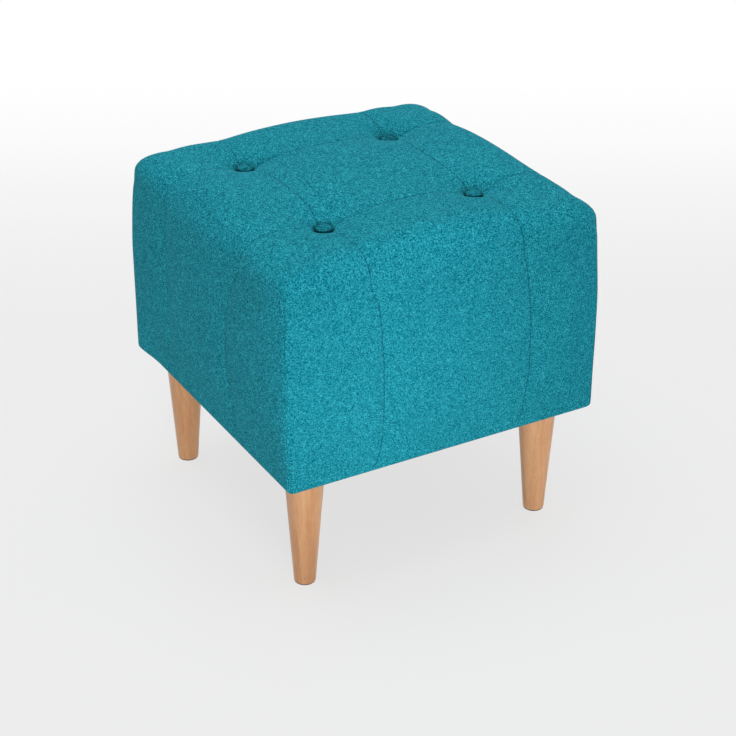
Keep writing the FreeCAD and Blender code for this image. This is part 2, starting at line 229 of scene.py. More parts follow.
yarnFacts = {
    "contrast": (0.30, 0.70),
    "push": 0.0011,  # how far the nubs are pushed about
    "tuftScale": 1.25, "fibreScale": 3.4,  # times the scale of the nubs
    "nubTone": 0.30, "fibreTone": 0.32, "tuftTone": 0.38,
    "tuftRound": 0.7, "tuftHeight": 0.55, "fibreHeight": 0.45,
    "cloudScale": 14.0,
}
grainFacts = {
    "bandStretch": 0.055, "bandRange": (0.36, 0.64),
    "fibreStretch": 0.03, "fibreScale": 900.0, "fibreRange": (0.30, 0.70),
    "fleckStretch": 0.20, "fleckScale": 780.0, "fleckRange": (0.65, 0.73),
    "patchScale": 28.0, "patchRange": (0.42, 0.58), "fewest": 0.25,
}
wearFacts = {
    "speckleRange": (0.3, 0.7), "scuffStretch": 0.08, "scuffTurn": (0.3, 0.2, 0.5), "scuffScale": 700.0,
    "scuffRange": (0.45, 0.75),
}


def makeMelange():
    # yarns of several shades, felted together: a tone for the colour and a height for the bump
    facts = yarnFacts
    tree, given, made = shaderGroup("melangeYarn", "Yarn size", ("Tone", "Height", "Cloud"))
    place = given["Place"]
    perMetre = maths(tree, "DIVIDE", 1.0, given["Yarn size"])
    nubs = noise(tree, place, perMetre, 2.5, 0.62)
    bend = addNode(tree, "ShaderNodeTexNoise", {"Vector": place, "Scale": perMetre, "Detail": 1.0})
    push = scaled(tree, bend.outputs["Color"], facts["push"])
    moved = addNode(tree, "ShaderNodeVectorMath", {0: place, 1: push}, operation="ADD").outputs[0]
    inputs = {"Vector": moved, "Scale": times(tree, perMetre, facts["tuftScale"]), "Randomness": 1.0}
    tufts = addNode(tree, "ShaderNodeTexVoronoi", inputs).outputs
    shade = addNode(tree, "ShaderNodeSeparateColor", {"Color": tufts["Color"]}).outputs["Red"]
    fibres = noise(tree, place, times(tree, perMetre, facts["fibreScale"]), 2.0, 0.6)
    nubTone = rangeOf(tree, nubs, *facts["contrast"])
    fibreTone = rangeOf(tree, fibres, *facts["contrast"])
    tone = plus(tree, times(tree, nubTone, facts["nubTone"]), times(tree, fibreTone, facts["fibreTone"]))
    tone = plus(tree, tone, times(tree, shade, facts["tuftTone"]))
    domed = rangeOf(tree, tufts["Distance"], 0.0, facts["tuftRound"], 1.0, 0.0)
    height = plus(tree, times(tree, domed, facts["tuftHeight"]),
                  times(tree, fibreTone, facts["fibreHeight"]))
    tree.links.new(tone, made["Tone"])
    tree.links.new(height, made["Height"])
    tree.links.new(noise(tree, place, facts["cloudScale"]), made["Cloud"])
    return tree


def makeGrain():
    # wood that grows along Z: growth bands, fine fibres, and the short dark flecks of the rays
    facts = grainFacts
    tree, given, made = shaderGroup("woodGrain", "Band scale", ("Band", "Fibre", "Fleck"))
    place = given["Place"]
    slow, fine, short = (stretched(tree, place, (1.0, 1.0, facts[name]))
                         for name in ("bandStretch", "fibreStretch", "fleckStretch"))
    bands = noise(tree, slow, given["Band scale"], 3.0, 0.55, 0.6)
    fibre = noise(tree, fine, facts["fibreScale"], 3.0, 0.65)
    fleck = noise(tree, short, facts["fleckScale"], 1.0, 0.4)
    patch = noise(tree, place, facts["patchScale"], 1.0)
    patch = rangeOf(tree, patch, *facts["patchRange"], facts["fewest"], 1.0)
    dash = rangeOf(tree, fleck, *facts["fleckRange"], smooth=True)
    tree.links.new(rangeOf(tree, bands, *facts["bandRange"]), made["Band"])
    tree.links.new(rangeOf(tree, fibre, *facts["fibreRange"]), made["Fibre"])
    tree.links.new(times(tree, dash, patch), made["Fleck"])
    return tree


def makeWear():
    # fine speckle and long scuffs for plastic and metal
    facts = wearFacts
    tree, given, made = shaderGroup("fineScuffs", "Grain scale", ("Speckle", "Scuff"))
    place = given["Place"]
    speckle = noise(tree, place, given["Grain scale"], 3.0, 0.6)
    slanted = stretched(tree, place, (1.0, facts["scuffStretch"], 1.0), facts["scuffTurn"])
    tree.links.new(rangeOf(tree, speckle, *facts["speckleRange"]), made["Speckle"])
    scuff = noise(tree, slanted, facts["scuffScale"])
    tree.links.new(rangeOf(tree, scuff, *facts["scuffRange"]), made["Scuff"])
    return tree


melange = makeMelange()
grain = makeGrain()
scuffs = makeWear()
print("shader groups made")


# Materials

teal = {
    "dark": (0.000, 0.060, 0.090),
    "middle": (0.004, 0.255, 0.335),
    "light": (0.060, 0.580, 0.710),
    "middleAt": 0.50,  # the tone that has the middle colour, between the darkest and the lightest
    "darkAt": 0.22,
    "lightAt": 0.80,
    "cloud": (0.975, 1.025),  # the slow change over the cloth
    "yarn": 0.0012,  # size of a nub of yarn
    "nap": 0.62,  # how much longer the nubs lie along Y
    "relief": 0.00020,
    "seamPaintedShade": 0.30,  # how dark the painted shade along a seam's groove gets
    "seamLine": (0.0002, 0.0011),
    "seamDip": 1.5,  # how deep it lies, in yarns
    "paintedTuftShade": 0.20,  # how dark the painted shade in the hollow round a button gets
    "rimPaintedShade": (0.34, 0.84),  # painted shade of a button: at its rim, and in its middle
    "rimRun": (0.0002, 0.0018),
}


def tealFabric(name, seamed):
    # melange upholstery cloth: the cover's has painted shade in its seams and in the hollows round the
    # buttons, the buttons' has painted shade at their rims
    material, tree, shader = newMaterial(name, Roughness=0.95, Specular_IOR_Level=0.08, Sheen_Weight=0.03,
                                         Sheen_Roughness=0.45, Sheen_Tint=(0.35, 0.80, 0.90, 1.0))
    place = stretched(tree, objectPlace(tree), (1.0, teal["nap"], 1.0))
    yarn = useGroup(tree, melange, place, teal["yarn"])
    lower = rangeOf(tree, yarn["Tone"], teal["darkAt"], teal["middleAt"])
    upper = rangeOf(tree, yarn["Tone"], teal["middleAt"], teal["lightAt"])
    colour = mixColours(tree, upper, mixColours(tree, lower, teal["dark"], teal["middle"]), teal["light"])
    cloud = rangeOf(tree, yarn["Cloud"], 0.3, 0.7, *teal["cloud"])
    height = yarn["Height"]
    if seamed:
        # painted shade along the seams' grooves and along the corner seams
        line = rangeOf(tree, attribute(tree, "seamAway"), *teal["seamLine"], 1.0, 0.0, True)
        line = times(tree, line, attribute(tree, "seamPaintedShadeStrength"))
        shade = times(tree, cloud, rangeOf(tree, line, 0.0, 1.0, 1.0, teal["seamPaintedShade"]))
        # painted shade in the hollow round each button
        paintedHollowShade = attribute(tree, "paintedTuftShade")
        shade = times(tree, shade, rangeOf(tree, paintedHollowShade, 0.0, 1.0, 1.0, teal["paintedTuftShade"]))
        height = maths(tree, "SUBTRACT", height, times(tree, line, teal["seamDip"]))
    else:
        # painted shade on a button, darker towards its rim
        rim = attribute(tree, "rimAway")
        shade = times(tree, cloud, rangeOf(tree, rim, *teal["rimRun"], *teal["rimPaintedShade"], True))
    paint(tree, shader, scaled(tree, colour, shade), height, teal["relief"], 0.8)
    return material


pineTones = {"dark": (0.60, 0.36, 0.15), "light": (0.80, 0.60, 0.36), "bandScale": 34.0, "roughness": 0.62,
             "fleck": 0.1}
woods = {
    # along is the axis that the grain runs on
    "lacqueredBeech": {"along": "z", "dark": (0.545, 0.232, 0.086), "light": (0.800, 0.450, 0.225),
                       "bandScale": 60.0, "roughness": 0.42, "coat": 0.25, "fleck": 0.30},
    "plainBeech": {"along": "x", "dark": (0.50, 0.29, 0.14), "light": (0.66, 0.44, 0.25),
                   "bandScale": 60.0, "roughness": 0.6, "fleck": 0.35},
    "pineAlongX": {"along": "x", **pineTones},
    "pineAlongY": {"along": "y", **pineTones},
    "pineUpright": {"along": "z", **pineTones},
}
woodFacts = {
    "bandShare": 0.6, "fibreShare": 0.4,  # of the tone
    "fleckDark": 0.45,  # times the dark colour
    "smoother": 0.06, "rougher": 0.08,  # what the fibres do to the roughness
    "relief": 0.00008, "coatRoughness": 0.28,
}


def wood(name):
    facts = woods[name]
    quarter = math.pi / 2
    turns = {"x": (0, quarter, 0), "y": (quarter, 0, 0), "z": (0, 0, 0)}
    rough = facts["roughness"]
    material, tree, shader = newMaterial(name, Roughness=rough, Coat_Weight=facts.get("coat", 0.0),
                                         Coat_Roughness=woodFacts["coatRoughness"])
    place = stretched(tree, objectPlace(tree), (1, 1, 1), turns[facts["along"]])
    made = useGroup(tree, grain, place, facts["bandScale"])
    tone = plus(tree, times(tree, made["Band"], woodFacts["bandShare"]),
                times(tree, made["Fibre"], woodFacts["fibreShare"]))
    colour = mixColours(tree, tone, facts["dark"], facts["light"])
    fleckColour = tuple(woodFacts["fleckDark"] * c for c in facts["dark"])
    colour = mixColours(tree, times(tree, made["Fleck"], facts["fleck"]), colour, fleckColour)
    # painted light: the wood of some legs is made paler to stand for the light that falls on them
    colour = scaled(tree, colour, plus(tree, attribute(tree, "paintedLightPaler"), 1.0))
    roughness = rangeOf(tree, made["Fibre"], 0.0, 1.0, rough - woodFacts["smoother"],
                        rough + woodFacts["rougher"])
    tree.links.new(roughness, shader.inputs["Roughness"])
    height = maths(tree, "SUBTRACT", made["Fibre"], made["Fleck"])
    paint(tree, shader, colour, height, woodFacts["relief"], 0.6)
    return material


# colour, roughness, metal or not, and the scale of the speckle
hardFinishes = {
    "zincPlatedSteel": ((0.62, 0.62, 0.60), 0.30, 1.0, 500.0),
    "galvanisedStaple": ((0.62, 0.62, 0.63), 0.34, 1.0, 1500.0),
    # the glide's dark brown is partly its own colour and partly painted shade for the gap under the foot
    "brownGlideAndGapShade": ((0.100, 0.052, 0.030), 0.50, 0.0, 1400.0),
    "whiteWasher": ((0.80, 0.80, 0.78), 0.42, 0.0, 1200.0),
}
# how far the tone spreads, and what a scuff adds to the roughness
hardFacts = {"spread": 0.08, "scuffed": 0.18, "relief": 0.00003}


def hard(name):
    # plastic or metal with a fine speckle and a few scuffs
    colour, rough, metallic, grainScale = hardFinishes[name]
    material, tree, shader = newMaterial(name, Metallic=metallic)
    made = useGroup(tree, scuffs, objectPlace(tree), grainScale)
    tone = rangeOf(tree, made["Speckle"], 0.0, 1.0, 1 - hardFacts["spread"], 1 + hardFacts["spread"])
    roughness = rangeOf(tree, made["Scuff"], 0.0, 1.0, rough, rough + hardFacts["scuffed"])
    tree.links.new(roughness, shader.inputs["Roughness"])
    paint(tree, shader, scaled(tree, colour, tone), made["Speckle"], hardFacts["relief"], 0.5)
    return material


foamLook = {"pores": 700.0, "deep": (0.66, 0.56, 0.34), "raised": (0.86, 0.80, 0.58),
            "aged": (0.82, 0.70, 0.42), "cloudScale": 30.0, "relief": 0.0004}


def foamRubber():
    # cream polyether foam with open pores
    material, tree, shader = newMaterial("creamFoam", Roughness=0.95, Specular_IOR_Level=0.2)
    place = objectPlace(tree)
    pores = addNode(tree, "ShaderNodeTexVoronoi", {"Vector": place, "Scale": foamLook["pores"]})
    cloud = rangeOf(tree, noise(tree, place, foamLook["cloudScale"], 3.0), 0.4, 0.7)
    deep = rangeOf(tree, pores.outputs["Distance"], 0.1, 0.6)
    colour = mixColours(tree, deep, foamLook["deep"], foamLook["raised"])
    paint(tree, shader, mixColours(tree, cloud, colour, foamLook["aged"]), deep, foamLook["relief"])
    return material


dustLook = {"points": 620.0, "uneven": 0.25, "web": 1800.0, "dark": (0.010, 0.010, 0.011),
            "light": (0.030, 0.030, 0.032), "dented": (0.045, 0.045, 0.048), "relief": 0.00018}


def nonwoven():
    # black spunbonded cloth, with rows of small embossed points
    material, tree, shader = newMaterial("blackNonwoven", Roughness=0.85, Specular_IOR_Level=0.3)
    place = objectPlace(tree)
    points = addNode(tree, "ShaderNodeTexVoronoi", {"Vector": place, "Scale": dustLook["points"],
                                                    "Randomness": dustLook["uneven"]})
    web = noise(tree, place, dustLook["web"], 3.0, 0.7)
    raised = rangeOf(tree, points.outputs["Distance"], 0.12, 0.30)
    colour = mixColours(tree, rangeOf(tree, web, 0.35, 0.65), dustLook["dark"], dustLook["light"])
    colour = mixColours(tree, maths(tree, "SUBTRACT", 1.0, raised), colour, dustLook["dented"])
    paint(tree, shader, colour, plus(tree, raised, web), dustLook["relief"])
    return material


plyLook = {"ply": 0.0015, "faceDark": (0.56, 0.38, 0.21), "faceLight": (0.72, 0.53, 0.32), "bandScale": 18.0,
           "edgeDark": (0.30, 0.17, 0.08), "edgeLight": (0.66, 0.47, 0.28), "relief": 0.0001}


def plywood():
    # a rotary-cut face veneer, and thin plies that show on the edges
    material, tree, shader = newMaterial("birchPlywood", Roughness=0.62)
    place = objectPlace(tree)
    turned = stretched(tree, place, (1, 1, 1), (0, math.pi / 2, 0))
    made = useGroup(tree, grain, turned, plyLook["bandScale"])
    face = mixColours(tree, made["Band"], plyLook["faceDark"], plyLook["faceLight"])
    ply = maths(tree, "PINGPONG", times(tree, apart(tree, place)["Z"], 1 / plyLook["ply"]), 1.0)
    edge = mixColours(tree, rangeOf(tree, ply, 0.35, 0.65), plyLook["edgeDark"], plyLook["edgeLight"])
    normal = tree.nodes.new("ShaderNodeNewGeometry").outputs["Normal"]
    flat = rangeOf(tree, maths(tree, "ABSOLUTE", apart(tree, normal)["Z"]), 0.4, 0.6)
    paint(tree, shader, mixColours(tree, flat, edge, face), made["Fibre"], plyLook["relief"], 0.6)
    return material


fibreLook = {"flakes": 420.0, "dark": (0.17, 0.085, 0.04), "light": (0.36, 0.20, 0.10), "relief": 0.0002}


def hardboard():
    # pressed brown fibre
    material, tree, shader = newMaterial("brownHardboard", Roughness=0.55)
    flakes = noise(tree, objectPlace(tree), fibreLook["flakes"], 4.0, 0.75, 1.2)
    colour = mixColours(tree, rangeOf(tree, flakes, 0.35, 0.65), fibreLook["dark"], fibreLook["light"])
    paint(tree, shader, colour, flakes, fibreLook["relief"], 0.6)
    return material


twineLook = {"lay": 60.0, "dark": (0.42, 0.36, 0.25), "light": (0.74, 0.68, 0.54), "relief": 0.0003}


def twistedTwine():
    # two strands, laid round each other
    material, tree, shader = newMaterial("waxedTwine", Roughness=0.7)
    inputs = {"Vector": objectPlace(tree), "Scale": twineLook["lay"], "Distortion": 1.0}
    wave = addNode(tree, "ShaderNodeTexWave", inputs, bands_direction="DIAGONAL").outputs["Fac"]
    colour = mixColours(tree, wave, twineLook["dark"], twineLook["light"])
    paint(tree, shader, colour, wave, twineLook["relief"])
    return material


coverCloth = tealFabric("tealMelange", True)
buttonCloth = tealFabric("tealMelangeButton", False)
beech, dowelBeech, pineX, pineY, pineZ = (wood(name) for name in woods)
zinc, stapleSteel, glidePlastic, washerPlastic = (hard(name) for name in hardFinishes)
foam = foamRubber()
dustCloth = nonwoven()
board = plywood()
fibreboard = hardboard()
twine = twistedTwine()
print("materials made")


def dressNodes():
    # every node that stays gets its finish in its own material slots; the first start that fits counts
    starts = {
        "seat_board_screws": zinc, "seat_board": board, "rail_dowels": dowelBeech, "side_panel": fibreboard,
        "corner_post": pineZ, "leg_glide": glidePlastic, "leg_": beech, "hanger_bolt": zinc,
        "insert_nut": zinc, "tuft_twine": twine, "tuft_washer": washerPlastic,
    }
    for name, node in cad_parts.items():
        finish = next((starts[start] for start in starts if name.startswith(start)), None)
        if "_rail_" in name:
            finish = pineX if name.endswith(("front", "back")) else pineY
        if finish is None:
            continue
        if not node.material_slots:
            node.data.materials.append(finish)
        for slot in node.material_slots:
            slot.material = finish


dressNodes()


# The padded form of the body, which the cover and the foam share

body = {
    "hemHalf": 0.218,  # from the middle of the body to a face, at the hem
    "crown": 0.4485,  # height of the middle of the top
    "turnReach": 0.050,  # how far in from the face the top starts to turn over
    "turnRadius": 0.044,  # of that turn, half way between the corners
    "cornerTurnRadius": 0.021,  # the same at the corners, where it is tight
    "tightRun": (0.085, 0.185),  # where along an edge it gets tight
    "cornerRadius": 0.007,  # of the upright corner at the front left, which is sharp
    "hemCornerRadius": 0.005,
    "rounder": 0.005,  # by how much the other corners are rounder
    "cornerTopRadius": 0.026,
    "topDrawIn": 0.003,  # how far the walls draw in at the top
    "drawInFrom": 0.30,  # the height where that starts
    "edgeFall": 0.0035,  # how much the top falls towards the middle of an edge
    "cornerFall": 0.0072,  # what the corners fall besides
    "backLeftFall": 0.0042,  # the same at that corner
    "hemRadius": 0.004,
    "hemWidth": 0.040,  # what is turned under
    "tuftDepth": 0.0172,
    "tuftRunY": 0.019,  # how far a tuft's dip runs out along the seams
    "tuftRunX": 0.020,
    "tuftSpread": 0.019,  # and between them
    "wellRadius": 0.0107,  # round the button
    "wellSlope": (-0.0004, 0.0018),
    "tuftFull": 0.016,  # how far below the crown the dips are whole
    # how the real body has settled; a pair of numbers is where a change starts and where it is whole
    "settling": {
        "leftTuck": 0.0045,  # how far the left side's hem is pulled in
        "tuckUp": (0.012, 0.085),  # over the hem
        "tuckAcross": (0.10, 0.20),
        "tuckEnd": (0.15, 0.21),
        "rightSwell": 0.0014,
        "backSwell": 0.0006,
        "swellUp": (0.010, 0.110),
        "swellAcross": (0.05, 0.20),
        "backSink": 0.0016,  # how much lower the back edge lies
        "sinkUp": (0.30, 0.42),
        "sinkAcross": (0.10, 0.17),
        "sinkEnd": (0.15, 0.20),
        # how far the seams of the middle panel bow: to the right, and to the back
        "bowOf": {"left": 0.0030, "right": -0.0050, "front": 0.0, "back": -0.0085},
        "bowUp": (0.0, 0.03),
        "bowRun": (0.002, 0.080),
        "bowWidth": 0.055,
        "farShift": 0.0045,  # how far the seams that run back end to the right of their buttons
        "farRun": (0.010, 0.060),
        "farUp": (0.30, 0.40),
        # how far each top corner is pulled in, and down
        "cornerPull": {"frontLeft": 0.0030, "frontRight": 0.0008, "backRight": 0.0026, "backLeft": 0.0032},
        "cornerRun": (0.13, 0.21),
        "cornerUp": (0.36, 0.44),
        "cornerDown": 0.8,  # how far down, for each metre in
    },
}
corners = ("front_left", "front_right", "back_right", "back_left")
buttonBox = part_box("tuft_button_front_right")
tuftPlace = (buttonBox[0].x + buttonBox[1].x) / 2
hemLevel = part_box("fabric_cover")[0].z
wallTop = body["crown"] - body["turnReach"]
wallHalf = body["hemHalf"] - body["topDrawIn"]
flatHalf = wallHalf - body["turnReach"]
reachOver = body["turnReach"] * math.pi / 2
clothHalf = flatHalf + reachOver  # from the middle to the top of the wall, along the cloth


def turnOver(share, radius):
    # how far out and down the cloth has gone at a share of its way over the edge
    straight = body["turnReach"] - radius
    gone = share * (2 * straight + radius * math.pi / 2)
    angle = np.clip((gone - straight) / radius, 0, math.pi / 2)
    after = np.maximum(gone - straight - radius * math.pi / 2, 0)
    return np.minimum(gone, straight) + radius * np.sin(angle), radius * (1 - np.cos(angle)) + after


def onRing(along, half, radius):
    # the place on one side of a square with round corners: how far along it and how far out
    straight = half - radius
    angle = np.clip((np.abs(along) - straight) / radius, 0, math.pi / 4)
    side = np.sign(along) * (np.minimum(np.abs(along), straight) + radius * np.sin(angle))
    return side, half - radius * (1 - np.cos(angle))


def alongRing(share, half, radius):
    # how far along the outline of that square, at a share of the way from the flat part to the corner
    length = half - radius + radius * math.pi / 4
    return flatHalf + share * (length - flatHalf)


def pastFlat(along):
    return np.clip((np.abs(along) - flatHalf) / reachOver, 0, 1)


def crownFall(x, y):
    # how far the padded top has fallen below its crown
    ex = np.clip(np.abs(x) / flatHalf, 0, 1)
    ey = np.clip(np.abs(y) / flatHalf, 0, 1)
    corner = np.where((x < 0) & (y > 0), body["backLeftFall"], body["cornerFall"])
    return body["edgeFall"] * (ex ** 2.6 + ey ** 2.6) + corner * (ex * ey) ** 4


def topPoint(a, b):
    # a point of the plain padded top, from its place on the cloth
    overA, overB = pastFlat(a), pastFlat(b)
    level = np.maximum(overA, overB)
    acrossIsA = np.abs(b) >= np.abs(a)  # the cloth goes over the front or back edge here
    along = np.where(acrossIsA, a, b)
    tight = smoothStep(np.abs(along), *body["tightRun"])
    radius = body["turnRadius"] + (body["cornerTurnRadius"] - body["turnRadius"]) * tight
    out, down = turnOver(level, radius)
    half = flatHalf + out
    wallRadius = body["cornerRadius"] + np.where((a < 0) & (b < 0), 0.0, body["rounder"])
    ringRadius = body["cornerTopRadius"] + (wallRadius - body["cornerTopRadius"]) * level
    ringRadius = np.minimum(out * 0.999 + 1e-6, ringRadius)  # never quite the half width
    share = np.where(level > 0, np.minimum(overA, overB) / np.maximum(level, 1e-9), 0)
    reached = np.sign(along) * alongRing(share, half, ringRadius)
    side, outward = onRing(np.where(np.abs(along) > flatHalf, reached, along), half, ringRadius)
    outward = np.where(acrossIsA, np.sign(b), np.sign(a)) * outward
    inside = level <= 0
    x = np.where(inside, a, np.where(acrossIsA, side, outward))
    y = np.where(inside, b, np.where(acrossIsA, outward, side))
    level = body["crown"] - crownFall(x, y)
    return np.stack([x, y, level - down * (level - wallTop) / body["turnReach"]], -1)


def wallHalfAt(z):
    # half the width of the plain body at a height
    return float(body["hemHalf"] - body["topDrawIn"] * smoothStep(z, body["drawInFrom"], wallTop))


def wallPoint(side, along, z, half, radius):
    # a point on side 0 front, 1 right, 2 back or 3 left; along runs anticlockwise, seen from above
    sharp = ((side == 0) & (along < 0)) | ((side == 3) & (along > 0))
    radius = radius + np.where(sharp, 0.0, body["rounder"])
    reached = alongRing(pastFlat(along), half, radius)
    reached = np.sign(along) * np.where(np.abs(along) > flatHalf, reached, np.abs(along))
    s, out = onRing(reached, half, radius)
    x = np.choose(side, [s, out, -s, -out])
    y = np.choose(side, [-out, s, out, -s])
    return np.stack([x, y, z + 0 * s], -1)


def settled(points):
    x, y, z = points[..., 0], points[..., 1], points[..., 2]
    facts = body["settling"]
    moved = points.copy()
    low = 1 - stepFrom(z, hemLevel, facts["tuckUp"])
    high = stepFrom(z, hemLevel, facts["swellUp"])
    tuck = facts["leftTuck"] * low * smoothStep(-x, *facts["tuckAcross"])
    moved[..., 0] += tuck * (1 - smoothStep(y, *facts["tuckEnd"]))
    moved[..., 0] += facts["rightSwell"] * high * smoothStep(x, *facts["swellAcross"])
    moved[..., 1] += facts["backSwell"] * high * smoothStep(y, *facts["swellAcross"])
    sink = facts["backSink"] * smoothStep(z, *facts["sinkUp"]) * smoothStep(y, *facts["sinkAcross"])
    moved[..., 2] -= sink * (1 - smoothStep(np.abs(x), *facts["sinkEnd"]))
    top = stepFrom(z, wallTop, facts["bowUp"])
    for axis, sides in enumerate((("left", "right"), ("front", "back"))):
        between = top * smoothStep(tuftPlace - np.abs(points[..., 1 - axis]), *facts["bowRun"])
        for name, seam in zip(sides, (-tuftPlace, tuftPlace)):
            near = hump(points[..., axis] - seam, facts["bowWidth"]) ** 2
            moved[..., axis] += facts["bowOf"][name] * between * near
            if axis == 0:
                past = smoothStep(y - tuftPlace, *facts["farRun"]) * smoothStep(z, *facts["farUp"])
                moved[..., 0] += facts["farShift"] * past * near
    pulls = facts["cornerPull"]
    pull = np.where(y < 0, np.where(x < 0, pulls["frontLeft"], pulls["frontRight"]),
                    np.where(x < 0, pulls["backLeft"], pulls["backRight"]))
    corner = smoothStep(np.abs(x), *facts["cornerRun"]) * smoothStep(np.abs(y), *facts["cornerRun"])
    corner = corner * smoothStep(z, *facts["cornerUp"]) * pull
    moved[..., 0] -= corner * np.sign(x)
    moved[..., 1] -= corner * np.sign(y)
    moved[..., 2] -= corner * facts["cornerDown"]
    return moved


# The cover

buttonSizes = {
    "dome": 0.0036,
    "rimHeight": 0.0019,
    "rimRound": 0.0009,
    "gap": 0.0003,  # between the button's back and the cloth
    "gatherShare": 0.62,  # where under the button its cloth is gathered in
    "gatherUp": 0.0003,  # over the back
    "shank": 0.003,
    "shankTop": 0.0002,  # under the back
    "shankEnd": 0.0008,
    "segments": 72, "domeSteps": 14, "rimSteps": 7,
    "domeShare": 0.985,  # of the radius, where the dome goes over into the rim
    "rimTurn": (20, 160),  # degrees, where the rim starts to turn and how far it goes
    "paintedShadeBelow": 0.0004,  # under the top of the rim the painted shade is whole
    "moat": 0.0024,  # how deep the cloth is pulled in close round a button
    "moatRun": (0.0055, 0.0098),
    "snug": 0.89,  # the button's share of the room that it has
    # how much higher than its node each sits
    "lift": {"front_left": 0.0020, "front_right": 0.0020, "back_right": 0.0008, "back_left": 0.0026},
    # how far from its rim a button's painted shade runs in: the deeper it sits, the darker it is painted
    "paintedShadeRun": {"front_left": 0.0030, "front_right": 0.0030, "back_right": 0.0010, "back_left": 0.0015},
}
cover = {
    "middleStep": 0.0132,  # size of a mesh square between the seams
    "edgeStep": 0.0088,  # and where the cloth goes over an edge
    "wallStep": 0.0150,  # between two rings of a wall
    "seamSteps": [0.0010, 0.0028, 0.0055, 0.0080, 0.0099, 0.0110, 0.0126, 0.0168, 0.0240],
    "ringRun": (0.0150, 0.0300),  # where the rings of the mesh round a button go over into squares
    "thickness": 0.0014,
    "farAway": 0.1,  # stands for a seam or a corner that isn't near
    "cornerShare": 0.75,  # times how far a and b are apart: the way to a corner seam
    "frames": 20,
    "mostPuff": 0.0050,  # how far the simulation may move a point
    "cloth": {
        "quality": 6, "mass": 0.3, "tension_stiffness": 40, "compression_stiffness": 20,
        "shear_stiffness": 12, "bending_stiffness": 2.0, "use_pressure": True, "uniform_pressure_force": 4.0,
        "vertex_group_mass": "held", "pin_stiffness": 1.0,
    },
    # how far the stuffing pushes the panels out, and where
    "fill": {
        "centre": 0.0010, "edge": 0.0040, "corner": 0.0012, "wall": 0.0018,
        "rise": (0.0, 0.55), "fall": (0.6, 1.0),  # shares of the way over an edge
        "frontRise": 0.0024,  # over the right edge the front seam hardly sinks in
        "backSink": 0.0012,  # and the back one sinks deeper
        "rightRun": (0.11, 0.16), "seamRun": 0.030,
        "outerShare": 0.7,  # of the outer panels of a wall
        "wallUp": (0.03, 0.5),
    },
    # how strongly the cloth is held while it swells, and how near to what holds it
    "hold": {
        "free": 0.02, "seam": 0.55, "corner": 0.85, "hem": 0.9,
        "seamRun": (0.0, 0.005), "cornerRun": (0.0, 0.006), "cornerStart": (-0.02, 0.0),
        "tuftRun": (0.015, 0.022), "hemRun": (-0.03, -0.012), "hemMargin": 0.001,
    },
    "seams": {
        "width": 0.0017, "depth": 0.0006,  # of a groove
        "widen": 1.4,  # how much wider a pulled groove is
        "pinch": 0.0035,  # how much deeper a seam is pulled beside a button
        "pinchRun": 0.022, "pinchFrom": (0.0115, 0.017),
        "outside": (0.0110, 0.0150),  # where a seam comes out from under a button
        "hemEnd": (0.001, 0.008), "topRun": (-0.03, 0.03), "behind": (-0.002, 0.002),
        "farRow": (-0.04, 0.04),  # from the front row of buttons to the back row
        # the seams that run along Y are taut, and those along X have eased
        "pullY": (0.30, 0.15),  # all round, and behind the buttons besides
        "pullX": (0.20, 0.80),
        "pullXRow": (0.35, 0.75),  # on the front row, and what the back row has besides
        "showY": (0.62, 0.10),  # plain, and pulled besides
        "showX": (0.36, 0.20, 0.8),  # plain, on the top besides, and how much more when pulled
        "cornerFrom": (-0.042, -0.028), "cornerFade": (0.02, 0.09), "cornerFaded": 0.55, "cornerShow": 0.9,
    },
    # the painted shade round a button: close to it, and the wide soft one behind it, where the cloth dips
    "paintedShades": {
        "behind": (-0.004, 0.012), "rightSide": (-0.04, 0.04),
        "wide": 0.07, "wideFar": 0.06, "wideFarRight": 0.20, "wideRun": 0.009,
        "close": 0.0009, "closeBehind": 0.0020, "closeFar": 0.0006,
    },
    # how far the two upright seams of a side stray, at shares of the wall's height from the hem
    "stray": {
        0: {"at": [0.0, 0.16, 0.33, 0.62, 0.88, 1.0],
            "first": [0.002, 0.013, 0.0155, 0.0150, 0.0110, 0.0035],
            "second": [-0.001, 0.0075, 0.0125, 0.0125, 0.0065, 0.001]},
        1: {"at": [0.0, 0.3, 0.7, 1.0],
            "first": [0.002, 0.006, 0.005, 0.001], "second": [-0.002, -0.005, -0.004, 0.0]},
        2: {"at": [0.0, 0.3, 0.7, 1.0],
            "first": [0.002, 0.007, 0.004, 0.0], "second": [-0.003, -0.006, -0.006, -0.001]},
        3: {"at": [0.0, 0.25, 0.41, 0.64, 0.79, 0.89, 1.0],
            "first": [0.001, 0.003, 0.004, 0.004, 0.003, 0.001, 0.0],
            "second": [-0.022, -0.029, -0.037, -0.035, -0.030, -0.021, -0.005]},
    },
    "strayOutward": 0.062, "strayInward": 0.085,  # how far from a seam the cloth goes along with it
}
# the facts of the mesh that say how near a point is to what holds it
heldBy = ("seamA", "seamB", "tuftAway", "cornerAway", "depth")


def clothLines():
    # places of the mesh lines across the cloth, close together at the seams
    steps = np.array(cover["seamSteps"])
    last = steps[-1]
    lines = [-clothHalf, clothHalf]
    for seam in (-tuftPlace, tuftPlace):
        lines += [seam, *(seam + steps), *(seam - steps)]
    for low, high, size in ((-clothHalf, -tuftPlace - last, cover["edgeStep"]),
                            (tuftPlace + last, clothHalf, cover["edgeStep"]),
                            (last - tuftPlace, tuftPlace - last, cover["middleStep"])):
        lines += list(np.linspace(low, high, round((high - low) / size) + 1)[1:-1])
    return np.array(sorted(lines))


def roundTufts(a, b):
    # bends the squares of the mesh round each button into rings
    offA, offB = np.abs(a) - tuftPlace, np.abs(b) - tuftPlace
    square = np.maximum(np.abs(offA), np.abs(offB))
    ring = square / np.maximum(np.hypot(offA, offB), 1e-9)
    bent = 1 - smoothStep(square, *cover["ringRun"])
    ring = bent * ring + 1 - bent
    return np.sign(a) * (tuftPlace + offA * ring), np.sign(b) * (tuftPlace + offB * ring)


